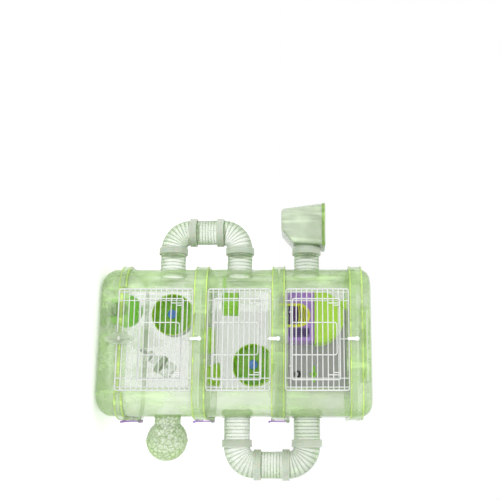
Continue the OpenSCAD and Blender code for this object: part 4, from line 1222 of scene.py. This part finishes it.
def build_house():
    """The house: walls with an arched door and a lattice window, the door's frame, a vaulted roof and chimney."""
    lavender, yellow = MATERIALS["lavender_plastic"], MATERIALS["yellow_plastic"]
    lo, hi = lowest("house_walls"), highest("house_walls")
    centre, half = (lo + hi) / 2, (hi - lo) / 2
    door_x, door_z = middle("house_arch")[0], highest("house_arch")[2] - 25 * MM
    window = np.array([hi[0] - 17 * MM, lo[2] + 40 * MM])
    levels = [(0, lo[2]), (0, hi[2]), (-WALL, hi[2]), (-WALL, lo[2])]
    rings = np.array([np.column_stack([rounded_rect(half[0] + g, half[1] + g, 4 * MM + g,
                                                    8) + centre[:2], np.full(32, z)])
                      for g, z in levels])
    walls = make("house_walls", [surface(rings, wrap_rows=True)],
                 [lavender, MATERIALS["lavender_painted_shade"]], None)
    door = prism(arch_outline(door_x, door_z, lo[2] - 5 * MM, 22 * MM), lo[1] - 5 * MM,
                 lo[1] + 10 * MM)
    pane = prism(rounded_rect(8 * MM, 20 * MM, 2 * MM, 4) + window, lo[1] - 5 * MM, lo[1] + 10 * MM)
    cut(walls, [cutter("door", door, ink=0), cutter("pane", pane, ink=0)])
    bars = []
    y = lo[1] + 1 * MM
    for k in np.linspace(-20, 20, 9)[1:-1]:
        bars.append(rod((window[0] - 8 * MM, y, window[1] + k * MM),
                        (window[0] + 8 * MM, y, window[1] + k * MM), 0.7 * MM, 6))
    for k in (-4, 0, 4):
        bars.append(rod((window[0] + k * MM, y, window[1] - 20 * MM),
                        (window[0] + k * MM, y, window[1] + 20 * MM), 0.7 * MM, 6))
    sill = rounded_rect(9.4 * MM, 21.4 * MM, 2 * MM, 4) + window
    inner = rounded_rect(8 * MM, 20 * MM, 2 * MM, 4) + window
    frame_rings = np.array([np.column_stack([o[:, 0], np.full(16, t), o[:, 1]])
                            for o,
                            t in ((sill, lo[1] + 0.2 * MM), (sill, lo[1] - 1 * MM),
                                  (inner, lo[1] - 1 * MM),
                                         (inner, lo[1] + 0.2 * MM))])
    bars.append(surface(frame_rings, wrap_rows=True))
    # The window's bars and frame take the near-black lavender: painted shade of the recessed strip at the right of
    # the house's front.
    add_parts(walls, bars, 1)
    settle(walls, "cage", ["house_walls"])
    outer = arch_outline(door_x, door_z, lo[2], 25 * MM, 32)
    inner = arch_outline(door_x, door_z, lo[2], 19.5 * MM, 32)
    face = lowest("house_arch")[1]
    mid = (outer + inner) / 2
    steps = [(outer, lo[1]), (outer, face + 1 * MM), (mid * 0.4 + outer * 0.6, face),
             (mid * 0.4 + inner * 0.6, face),
             (inner, face + 1 * MM), (inner, lo[1])]
    rings = np.array([np.column_stack([o[:, 0], np.full(34, t), o[:, 1]]) for o, t in steps])
    parts = [surface(rings, wrap_rows=True)]
    for rise in (0, 4, 8, 12, 16):
        reach = math.sqrt(20.5 ** 2 - rise ** 2) * MM
        bow = np.linspace(-reach, reach, 13)
        path = np.column_stack([door_x + bow, lo[1] - 1.4 * MM + 0.2 * MM * (bow / reach) ** 2,
                                door_z + rise * MM + 2 * MM * (1 - (bow / reach) ** 2)])
        parts.append(sweep(path, 1.2 * MM, (0, 1, 0), 10))
    make("house_arch", parts, [yellow], "cage", ["house_arch"])
    build_roof(centre[0], hi[2])


def build_roof(x, eaves):
    """The roof: a vault drawn in at both ends like a dome, with pressed ribs, and a chimney."""
    lo, hi = lowest("house_roof"), highest("house_roof")
    radius = (hi[0] - lo[0]) / 2
    z = eaves + 8 * MM
    half, middle_y, edge = (hi[1] - lo[1]) / 2, (hi[1] + lo[1]) / 2, 14 * MM
    a = np.linspace(0, math.pi / 2, 9)
    run = np.linspace(-half + edge, half - edge, 33)
    y = np.concatenate([-half + edge * (1 - np.sin(a[::-1])), run[1:-1],
                        half - edge * (1 - np.sin(a))])
    draw = np.concatenate([edge * (1 - np.cos(a[::-1])), np.zeros(31), edge * (1 - np.cos(a))])
    wave = 0.7 * MM * np.clip(np.cos(2 * math.pi * (y - middle_y) / (13 * MM)), 0, 1) ** 4
    low = eaves - z

    def skin(grow):
        t = np.linspace(0, math.pi, 65)
        r = radius - draw - wave + grow
        arcs = np.stack([x + r[:, None] * np.cos(t),
                         np.broadcast_to((y + middle_y)[:, None], (len(y), 65)),
                         z + r[:, None] * np.sin(t)], -1)
        feet = [np.stack([x + s * r, y + middle_y, np.full(len(y), z + low)],
                         -1)[:, None] for s in (-1, 1)]
        return np.concatenate([arcs, feet[0], feet[1]], 1)

    outer = surface(skin(0), caps=(True, True))
    roof = make("house_roof", [outer], [MATERIALS["lime_plastic"], MATERIALS["lime_plastic"]], None)
    walls = lowest("house_walls"), highest("house_walls")
    room = block((walls[0][0] + WALL, walls[0][1] + WALL, eaves - 5 * MM),
                 (walls[1][0] - WALL, walls[1][1] - WALL, z + 12 * MM))
    cut(roof, [cutter("room", room, ink=0)])
    left, front = lo[0] + 16 * MM, lo[1] + 8 * MM
    stack = np.array([11 * MM, 11 * MM])
    centre = np.array([left, front]) + stack
    levels = [(-2 * MM, z + 30 * MM), (-2 * MM, hi[2] - 7 * MM), (0, hi[2] - 6 * MM),
              (0, hi[2] - 0.6 * MM),
              (-0.6 * MM, hi[2]), (-4 * MM, hi[2]), (-4 * MM, hi[2] - 6 * MM)]
    rings = np.array([np.column_stack([rounded_rect(stack[0] + g, stack[1] + g, 5 * MM + g,
                                                    6) + centre, np.full(24, h)])
                      for g, h in levels])
    add_parts(roof, [surface(rings, caps=(True, True))])
    settle(roof, "cage", ["house_roof"])


def build_furniture():
    """The dome hut, the ribbed cup and the two dishes."""
    green, lime = MATERIALS["dark_green_plastic"], MATERIALS["lime_plastic"]
    lo, hi = lowest("dome_hut"), highest("dome_hut")
    x, y = middle("dome_hut")[0], middle("dome_hut")[1]
    radius, foot = (hi[0] - lo[0]) / 2, 27 * MM
    steps = 24
    dome = arc((0, lo[2] + foot), radius, 0, 90, steps)
    inner = arc((0, lo[2] + foot), radius - WALL, 90, 0, steps)
    rows = [(radius - 10 * MM, lo[2]), *dome, *inner, (radius - 12 * MM, lo[2])]
    hut = make("dome_hut", [revolve(rows, (x, y, 0), "z", 96)], [green, green], None)
    door = prism(arch_outline(x, 26 * MM, lo[2] - 5 * MM, 15 * MM), y - radius - 5 * MM, y)
    cut(hut, [cutter("door", door)])
    settle(hut, "cage", ["dome_hut"])
    lo, hi = lowest("food_cup"), highest("food_cup")
    radius = 26 * MM
    x = hi[0] - radius
    rows = [(0, lo[2]), (radius - 2.4 * MM, lo[2]), (radius - 0.6 * MM, lo[2] + 1.6 * MM),
            (radius - 0.4 * MM, hi[2] - 3 * MM),
            (radius - 0.1 * MM, hi[2] - 2.4 * MM), (radius - 0.1 * MM, hi[2] - 0.4 * MM),
            (radius - 0.6 * MM, hi[2]),
            (radius - 2 * MM, hi[2] - 0.3 * MM), (radius - 2.6 * MM, lo[2] + 4 * MM),
            (radius - 5 * MM, lo[2] + 2 * MM),
            (0, lo[2] + 2 * MM)]
    cup = revolve(rows, (x, y, 0), "z", 192, closed=False,
                  ripple=lambda a: 1 - 0.02 * (0.5 - 0.5 * np.cos(24 * a)))
    arm = block((lo[0], y - 10 * MM, lo[2]), (x - radius + 3 * MM, y + 10 * MM, lo[2] + 6 * MM))
    make("food_cup", [cup, arm], [MATERIALS["green_plastic"]], "cage", ["food_cup"])
    for node in ("food_dish", "sand_dish"):
        lo, hi, at = lowest(node), highest(node), middle(node)
        r, low, high = (hi[0] - lo[0]) / 2, lo[2], hi[2]
        rows = [(0, low), (r - 6 * MM, low), (r - 5 * MM, low + 0.6 * MM),
                (r - 1 * MM, high - 3 * MM), (r, high - 2 * MM),
                (r, high - 0.8 * MM), (r - 0.8 * MM, high), (r - 2.4 * MM, high - 0.2 * MM),
                (r - 3.4 * MM, high - 1.4 * MM),
                (r - 8 * MM, low + 4.5 * MM), (r - 10 * MM, low + 3 * MM), (0, low + 3 * MM)]
        dish = revolve(rows, (at[0], at[1], 0), "z", 96, closed=False)
        make(node, [dish], [lime], "cage", [node])


def build_bottle(look):
    """The drinking bottle on its slant: body, knurled cap, steel spout, and the strap with its arm."""
    tilt = math.radians(look.bottle_tilt_degrees)
    s, c = math.sin(tilt), math.cos(tilt)
    basis = np.array([[c, 0, s], [0, 1, 0], [-s, 0, c]])
    at = np.array([22 * MM, middle("water_bottle")[1], 84 * MM])
    r, neck, length = 17 * MM, 9.35 * MM, 58 * MM
    shoulder = arc((r - 5 * MM, 13 * MM + 5 * MM), 5 * MM, -60, 0, 8)
    base = arc((r - 5 * MM, length - 5 * MM), 5 * MM, 0, 90, 8)
    rows = [(0, 0), (neck, 0), (neck, 7 * MM), (neck + 0.8 * MM, 9 * MM), *shoulder, *base,
            (8 * MM, length),
            (6 * MM, length - 1.5 * MM), (0, length - 1.5 * MM)]
    body = revolve(rows, at, basis, 72, closed=False)
    make("water_bottle", [body], [MATERIALS["bottle_plastic"]], "cage", ["water_bottle"])
    r = 12.35 * MM
    rows = [(0, -9 * MM), (r - 1.5 * MM, -9 * MM), (r - 0.3 * MM, -8 * MM),
            (r - 0.3 * MM, -0.5 * MM), (r - 0.8 * MM, 0), (0, 0)]
    cap = revolve(rows, at, basis, 120, closed=False, ripple=lambda a: 1 + 0.012 * np.cos(30 * a))
    make("bottle_cap", [cap], [MATERIALS["white_plastic"]], "cage", ["bottle_cap"])
    rows = [(0, -28.6 * MM), (2 * MM, -29 * MM), (3.2 * MM, -28.4 * MM), (3.5 * MM, -27.4 * MM),
            (3.5 * MM, -9 * MM), (0, -9 * MM)]
    make("bottle_spout", [revolve(rows, at, basis, 48, closed=False)], [MATERIALS["pin_steel"]],
         "cage", ["bottle_spout"])
    rows = [(17.1 * MM, 21.4 * MM), (19.5 * MM, 21.4 * MM), (20 * MM, 22 * MM),
            (20 * MM, 30.8 * MM), (19.5 * MM, 31.4 * MM),
            (17.1 * MM, 31.4 * MM)]
    hi = highest("bottle_holder")[1]
    mid = at + 26.4 * MM * np.array([s, 0, c])
    arm = block((mid[0] - 4 * MM, at[1] + 18.5 * MM, mid[2] - 4 * MM),
                (mid[0] + 4 * MM, hi, mid[2] + 4 * MM))
    make("bottle_holder", [revolve(rows, at, basis, 72), arm], [MATERIALS["frosted_white"]], "cage",
         ["bottle_holder"])


def build_port():
    """The rubber grommet in the back wall, with two flaps either side of a slit, and the green clip above."""
    at, lo, hi = middle("port_grommet"), lowest("port_grommet")[1], highest("port_grommet")[1]
    rows = [(4 * MM, lo), (7.4 * MM, lo), (8 * MM, lo + 0.6 * MM), (8 * MM, lo + 2 * MM),
            (5.88 * MM, lo + 2 * MM),
            (5.88 * MM, hi - 2 * MM), (8 * MM, hi - 2 * MM), (8 * MM, hi - 0.6 * MM),
            (7.4 * MM, hi), (4 * MM, hi)]
    parts = [revolve(rows, (at[0], 0, at[2]), "y", 64)]
    for start in (7, 187):
        flap = arc((at[0], at[2]), 4.1 * MM, start, start + 166, 24)
        parts.append(prism(flap, lo + 0.8 * MM, lo + 1.8 * MM))
    make("port_grommet", parts, [MATERIALS["black_rubber"]], "cage", ["port_grommet"])
    at, lo, hi = middle("bottle_hanger"), lowest("bottle_hanger"), highest("bottle_hanger")
    front = lo[1]
    cross = prism(rounded_rect(18 * MM, 3 * MM, 2 * MM, 6) + [at[0], at[2]], front, front + 3 * MM)
    post = prism(rounded_rect(3 * MM, 9 * MM, 2 * MM, 6) + [at[0], at[2]], front, front + 3 * MM)
    stud = cylinder(5 * MM, front + 2 * MM, hi[1], (at[0], 0, at[2]), "y", 32)
    piece = make("bottle_hanger", [cross, post, stud], [MATERIALS["green_plastic"]], "cage",
                 ["bottle_hanger"])
    bevel(piece, 0.4 * MM, 2)


def build_materials(look):
    """Every finish of the object."""
    opacity = look.clear_opacity
    clear_plastic("clear_green", look.pale, look.deep, opacity, 0.8, 0.1)
    clear_plastic("clear_lime", look.lip, look.lip_deep, look.lip_opacity, 0.98, 0.14, 0.7)
    # The back colours are painted shade of each storey's inside, darkest in the upper storey.
    clear_plastic("clear_lower", look.pale, look.deep, opacity, 0.8, 0.1,
                  back=((0.45, 0.52, 0.36), 0.45))
    clear_plastic("clear_middle", look.pale, look.deep, opacity, 0.8, 0.1,
                  back=((0.4, 0.47, 0.32), 0.5))
    clear_plastic("clear_upper", look.pale, look.deep, opacity, 0.8, 0.1,
                  back=((0.22, 0.23, 0.21), 0.8))
    clear_plastic("clear_ball", (0.42, 0.58, 0.28), look.lip_deep, opacity, 0.8, 0.16, facets=100.0)
    clear_plastic("clear_tube", look.tube, look.tube_deep, opacity * 0.7, 0.85, 0.12, 0.8)
    # Painted shade for the tube grooves.
    clear_plastic("groove_painted_shade", look.tube_deep, look.tube_deep, 0.5, 0.9, 0.12, 0.3)
    clear_plastic("clear_pod", (0.34, 0.42, 0.28), look.pod_deep, opacity * 1.7, 0.95, 0.12)
    clear_plastic("clear_lid", look.lip_deep, look.pod_deep, 0.6, 0.98, 0.12)
    solid_plastic("frosted_white", (0.54, 0.6, 0.5), (0.42, 0.48, 0.39), 0.3, subsurface=0.3)
    solid_plastic("white_wire", (0.72, 0.73, 0.72), (0.6, 0.62, 0.61), 0.25, 0.1)
    solid_plastic("white_plastic", (0.86, 0.87, 0.86), (0.78, 0.8, 0.79), 0.28, subsurface=0.2)
    solid_plastic("lime_plastic", (0.5, 0.8, 0.07), (0.4, 0.7, 0.05), 0.2, subsurface=0.2)
    solid_plastic("green_plastic", (0.45, 0.84, 0.09), (0.26, 0.68, 0.06), 0.22, subsurface=0.1)
    solid_plastic("dark_green_plastic", (0.3, 0.78, 0.08), (0.2, 0.62, 0.05), 0.22, subsurface=0.1)
    solid_plastic("lavender_plastic", (0.42, 0.22, 0.66), (0.34, 0.17, 0.56), 0.25, subsurface=0.2)
    # Near-black lavender: painted shade for the house window's bars and frame.
    solid_plastic("lavender_painted_shade", (0.13, 0.09, 0.3), (0.1, 0.07, 0.24), 0.3)
    solid_plastic("yellow_plastic", (0.72, 0.74, 0.04), (0.62, 0.66, 0.03), 0.2, subsurface=0.2)
    solid_plastic("blue_plastic", (0.1, 0.28, 0.72), (0.08, 0.22, 0.62), 0.2)
    clear_plastic("bottle_plastic", (0.7, 0.76, 0.7), look.tube_deep, 0.3, 0.8, 0.1)
    solid_plastic("black_rubber", (0.015, 0.015, 0.015), (0.03, 0.03, 0.03), 0.55, 0.5)
    metal("pin_steel", (0.62, 0.62, 0.64), 0.25)


def build_stage(light):
    """A pale ground and backdrop, soft lamps, a bright world, and the camera lying on its side."""
    scene = bpy.context.scene
    material, tree, shader = start_material("Pale ground")
    body = placed(tree, "moulding", Tone=(0.95, 0.95, 0.95, 1), Second_Tone=(0.9, 0.9, 0.9, 1),
                  Cloud_Scale=1.5,
                  Streaks=0.0, Roughness=0.7, Spread=0.1)
    tree.links.new(body.outputs["Color"], shader.inputs["Base Color"])
    tree.links.new(body.outputs["Roughness"], shader.inputs["Roughness"])
    tree.links.new(body.outputs["Color"], shader.inputs["Emission Color"])
    shader.inputs["Emission Strength"].default_value = 0.32
    floor = make("Ground", [block((-12, -12, -0.02), (12, 12, 0))], [material], None)
    world = bpy.data.worlds.new("Studio")
    scene.world = world
    world.use_nodes = True
    world.node_tree.nodes["Background"].inputs["Color"].default_value = (1, 1, 1, 1)
    world.node_tree.nodes["Background"].inputs["Strength"].default_value = light.world
    for name, at, energy, size in (("Key", (-0.9, -1.5, 1.7), light.key, 1.2),
                                   ("Fill", (1.3, -1.2, 0.6), light.fill, 1.4),
                                   ("Top", (0.1, 0.5, 1.9), light.top, 1.5)):
        lamp = bpy.data.lights.new(name, "AREA")
        lamp.energy, lamp.size = energy, size
        holder = bpy.data.objects.new(name, lamp)
        holder.location = at
        aim = mathutils.Vector((0, 0, 0.28)) - holder.location
        holder.rotation_euler = aim.to_track_quat("-Z", "Y").to_euler()
        scene.collection.objects.link(holder)
    scene.view_settings.view_transform = "Standard"
    scene.cycles.transparent_max_bounces = 48
    place_camera(light)


def place_camera(light):
    """A level camera in front, a little to the right, turned on its side so the tower's foot is at the left."""
    scene = bpy.context.scene
    azimuth, yaw = math.radians(light.azimuth_degrees), math.radians(light.yaw_degrees)
    eye = mathutils.Vector((math.sin(azimuth) * light.distance, -math.cos(azimuth) * light.distance,
                            light.eye_height))
    ahead = mathutils.Vector((-math.sin(azimuth + yaw), math.cos(azimuth + yaw), 0))
    right = mathutils.Vector((0, 0, 1))
    up = right.cross(ahead)
    camera = bpy.data.objects.new("Camera", bpy.data.cameras.new("Camera"))
    camera.location = eye
    camera.rotation_euler = mathutils.Matrix((right, up, -ahead)).transposed().to_euler()
    camera.data.lens = light.lens
    camera.data.shift_x = light.shift
    scene.collection.objects.link(camera)
    scene.camera = camera


# ---------------------------------------------------------------- settings

class CageLook(bpy.types.PropertyGroup):
    """Colours, clearness and fine relief of the tower."""
    pale: bpy.props.FloatVectorProperty(name="Clear tint",
                                        description="Tint of the clear walls where looked through",
                                        default=(0.29, 0.46, 0.15), subtype="COLOR", min=0, max=1)
    deep: bpy.props.FloatVectorProperty(name="Edge tint",
                                        description="Tint of the clear walls where seen edge-on",
                                        default=(0.13, 0.28, 0.03), subtype="COLOR", min=0, max=1)
    lip: bpy.props.FloatVectorProperty(name="Lip tint", description="Tint of the bands' lips",
                                       default=(0.34, 0.5, 0.07), subtype="COLOR", min=0, max=1)
    lip_deep: bpy.props.FloatVectorProperty(name="Lip edge tint",
                                            description="Tint of the lips where seen edge-on",
                                            default=(0.16, 0.32, 0.01), subtype="COLOR", min=0,
                                            max=1)
    tube: bpy.props.FloatVectorProperty(name="Tube tint",
                                        description="Tint of the tubes where looked through",
                                        default=(0.42, 0.52, 0.34), subtype="COLOR", min=0, max=1)
    tube_deep: bpy.props.FloatVectorProperty(name="Tube edge tint",
                                             description="Tint of the tubes where seen edge-on",
                                             default=(0.14, 0.25, 0.09), subtype="COLOR", min=0,
                                             max=1)
    pod_deep: bpy.props.FloatVectorProperty(name="Pod edge tint",
                                            description="Tint of the pod where seen edge-on",
                                            default=(0.06, 0.14, 0.05), subtype="COLOR", min=0,
                                            max=1)
    clear_opacity: bpy.props.FloatProperty(name="Clear opacity",
                                           description="How much one clear wall covers face-on",
                                           default=0.36, min=0, max=1, subtype="FACTOR")
    lip_opacity: bpy.props.FloatProperty(name="Lip opacity",
                                         description="How much a lip covers face-on",
                                         default=0.72, min=0, max=1, subtype="FACTOR")
    tube_ridge: bpy.props.FloatProperty(name="Tube ridges",
                                        description="Depth of the fine rings on the tubes",
                                        default=0.8 * MM, min=0, max=1 * MM, unit="LENGTH")
    ring_grip: bpy.props.FloatProperty(name="Ring grip",
                                       description="Depth of a ring's grip ribs, as a part of its radius",
                                       default=0.006, min=0, max=0.02, subtype="FACTOR")
    ball_dimple: bpy.props.FloatProperty(name="Ball dimples",
                                         description="Depth of the dimples on the play ball",
                                         default=0.9 * MM, min=0, max=1.4 * MM, unit="LENGTH")
    spokes: bpy.props.IntProperty(name="Spokes",
                                  description="Raised ribs on a running wheel's disc",
                                  default=12, min=4, max=24)
    pleats: bpy.props.IntProperty(name="Elbow pleats", description="Grooves across an elbow",
                                  default=9, min=4, max=16)
    rungs: bpy.props.IntProperty(name="Rungs", description="Rungs inside a running wheel's drum",
                                 default=36, min=12, max=60)
    bottle_tilt_degrees: bpy.props.FloatProperty(name="Bottle slant",
                                                 description="Slant of the drinking bottle, in degrees",
                                                 default=36.0, min=0, max=60)


class CageLight(bpy.types.PropertyGroup):
    """Lamps and camera of the studio."""
    key: bpy.props.FloatProperty(name="Key", description="Power of the main lamp", default=7.0,
                                 min=0, unit="POWER")
    fill: bpy.props.FloatProperty(name="Fill", description="Power of the fill lamp", default=2.0,
                                  min=0, unit="POWER")
    top: bpy.props.FloatProperty(name="Top", description="Power of the lamp overhead", default=4.0,
                                 min=0, unit="POWER")
    world: bpy.props.FloatProperty(name="Surroundings",
                                   description="Strength of the white surroundings",
                                   default=1.0, min=0, max=3)
    azimuth_degrees: bpy.props.FloatProperty(name="Azimuth",
                                             description="How far right of front the camera stands, in degrees",
                                             default=6.0)
    yaw_degrees: bpy.props.FloatProperty(name="Yaw",
                                         description="How far the camera turns left of the tower, in degrees",
                                         default=6.95)
    distance: bpy.props.FloatProperty(name="Distance",
                                      description="From the camera to the tower's middle",
                                      default=1.65, unit="LENGTH")
    eye_height: bpy.props.FloatProperty(name="Eye height", description="Height of the camera",
                                        default=0.402, unit="LENGTH")
    lens: bpy.props.FloatProperty(name="Lens", description="Focal length in millimetres",
                                  default=56.15)
    shift: bpy.props.FloatProperty(name="Shift", description="Sideways shift of the picture",
                                   default=-0.099)


# ---------------------------------------------------------------- operators

class CAGE_OT_materials(bpy.types.Operator):
    """Makes every finish"""
    bl_idname = "cage.materials"
    bl_label = "Materials"

    def execute(self, context):
        build_materials(context.scene.cage_look)
        return {"FINISHED"}


class CAGE_OT_base(bpy.types.Operator):
    """Builds the base tray"""
    bl_idname = "cage.base"
    bl_label = "Base tray"

    def execute(self, context):
        build_base()
        return {"FINISHED"}


class CAGE_OT_shells(bpy.types.Operator):
    """Builds the three storeys' walls"""
    bl_idname = "cage.shells"
    bl_label = "Shells"

    def execute(self, context):
        build_shells()
        return {"FINISHED"}


class CAGE_OT_floors(bpy.types.Operator):
    """Builds the storey floors and their bands"""
    bl_idname = "cage.floors"
    bl_label = "Floors"

    def execute(self, context):
        build_floors()
        return {"FINISHED"}


class CAGE_OT_cap(bpy.types.Operator):
    """Builds the cap"""
    bl_idname = "cage.cap"
    bl_label = "Cap"

    def execute(self, context):
        build_cap()
        return {"FINISHED"}


class CAGE_OT_handle(bpy.types.Operator):
    """Builds the carry handle and its pins"""
    bl_idname = "cage.handle"
    bl_label = "Handle"

    def execute(self, context):
        build_handle()
        return {"FINISHED"}


class CAGE_OT_fronts(bpy.types.Operator):
    """Builds the wire fronts"""
    bl_idname = "cage.fronts"
    bl_label = "Wire fronts"

    def execute(self, context):
        build_fronts()
        return {"FINISHED"}


class CAGE_OT_doors(bpy.types.Operator):
    """Builds the wire doors"""
    bl_idname = "cage.doors"
    bl_label = "Wire doors"

    def execute(self, context):
        build_doors()
        return {"FINISHED"}


class CAGE_OT_clips(bpy.types.Operator):
    """Builds the band clips and the turn clip"""
    bl_idname = "cage.clips"
    bl_label = "Clips"

    def execute(self, context):
        build_clips()
        return {"FINISHED"}


class CAGE_OT_latches(bpy.types.Operator):
    """Builds the side latches and their pins"""
    bl_idname = "cage.latches"
    bl_label = "Latches"

    def execute(self, context):
        build_latches()
        return {"FINISHED"}


class CAGE_OT_tubes(bpy.types.Operator):
    """Builds the tubes of the loops"""
    bl_idname = "cage.tubes"
    bl_label = "Tubes"

    def execute(self, context):
        build_tubes(context.scene.cage_look)
        return {"FINISHED"}


class CAGE_OT_rings(bpy.types.Operator):
    """Builds the connecting rings and nuts"""
    bl_idname = "cage.rings"
    bl_label = "Rings"

    def execute(self, context):
        build_rings(context.scene.cage_look)
        return {"FINISHED"}


class CAGE_OT_pod(bpy.types.Operator):
    """Builds the lookout pod, its lid and pin"""
    bl_idname = "cage.pod"
    bl_label = "Pod"

    def execute(self, context):
        build_pod()
        return {"FINISHED"}


class CAGE_OT_ball(bpy.types.Operator):
    """Builds the play ball"""
    bl_idname = "cage.ball"
    bl_label = "Ball"

    def execute(self, context):
        build_ball(context.scene.cage_look)
        return {"FINISHED"}


class CAGE_OT_wheels(bpy.types.Operator):
    """Builds the running wheels, their stands and caps"""
    bl_idname = "cage.wheels"
    bl_label = "Wheels"

    def execute(self, context):
        build_wheels(context.scene.cage_look)
        return {"FINISHED"}


class CAGE_OT_house(bpy.types.Operator):
    """Builds the house with its door frame and roof"""
    bl_idname = "cage.house"
    bl_label = "House"

    def execute(self, context):
        build_house()
        return {"FINISHED"}


class CAGE_OT_furniture(bpy.types.Operator):
    """Builds the hut, the cup and the dishes"""
    bl_idname = "cage.furniture"
    bl_label = "Furniture"

    def execute(self, context):
        build_furniture()
        return {"FINISHED"}


class CAGE_OT_bottle(bpy.types.Operator):
    """Builds the drinking bottle and its holder"""
    bl_idname = "cage.bottle"
    bl_label = "Bottle"

    def execute(self, context):
        build_bottle(context.scene.cage_look)
        return {"FINISHED"}


class CAGE_OT_port(bpy.types.Operator):
    """Builds the bottle port's grommet and clip"""
    bl_idname = "cage.port"
    bl_label = "Bottle port"

    def execute(self, context):
        build_port()
        return {"FINISHED"}


class CAGE_OT_stage(bpy.types.Operator):
    """Builds the ground, the lamps and the camera"""
    bl_idname = "cage.stage"
    bl_label = "Stage"

    def execute(self, context):
        build_stage(context.scene.cage_light)
        return {"FINISHED"}


class CAGE_PT_panel(bpy.types.Panel):
    """Sidebar panel with the settings and every step"""
    bl_label = "Hamster tower"
    bl_idname = "CAGE_PT_panel"
    bl_space_type = "VIEW_3D"
    bl_region_type = "UI"
    bl_category = "Cage"

    def draw(self, context):
        column = self.layout.column()
        for settings in (context.scene.cage_look, context.scene.cage_light):
            for name in settings.__annotations__:
                column.prop(settings, name)
        for step in STEPS:
            column.operator(step.bl_idname)


STEPS = (CAGE_OT_materials, CAGE_OT_base, CAGE_OT_shells, CAGE_OT_floors, CAGE_OT_cap,
         CAGE_OT_handle, CAGE_OT_fronts,
         CAGE_OT_doors, CAGE_OT_clips, CAGE_OT_latches, CAGE_OT_tubes, CAGE_OT_rings, CAGE_OT_pod,
         CAGE_OT_ball,
         CAGE_OT_wheels, CAGE_OT_house, CAGE_OT_furniture, CAGE_OT_bottle, CAGE_OT_port,
         CAGE_OT_stage)
CLASSES = (CageLook, CageLight, *STEPS, CAGE_PT_panel)


def register():
    """Registers the classes and hangs the settings on the scene."""
    for kind in CLASSES:
        bpy.utils.register_class(kind)
    bpy.types.Scene.cage_look = bpy.props.PointerProperty(type=CageLook)
    bpy.types.Scene.cage_light = bpy.props.PointerProperty(type=CageLight)


def unregister():
    """Takes everything off again."""
    del bpy.types.Scene.cage_light
    del bpy.types.Scene.cage_look
    for kind in reversed(CLASSES):
        bpy.utils.unregister_class(kind)


def main():
    """Builds everything in order."""
    register()
    for step in STEPS:
        area, name = step.bl_idname.split(".")
        getattr(getattr(bpy.ops, area), name)()


if __name__ == "__main__":
    main()
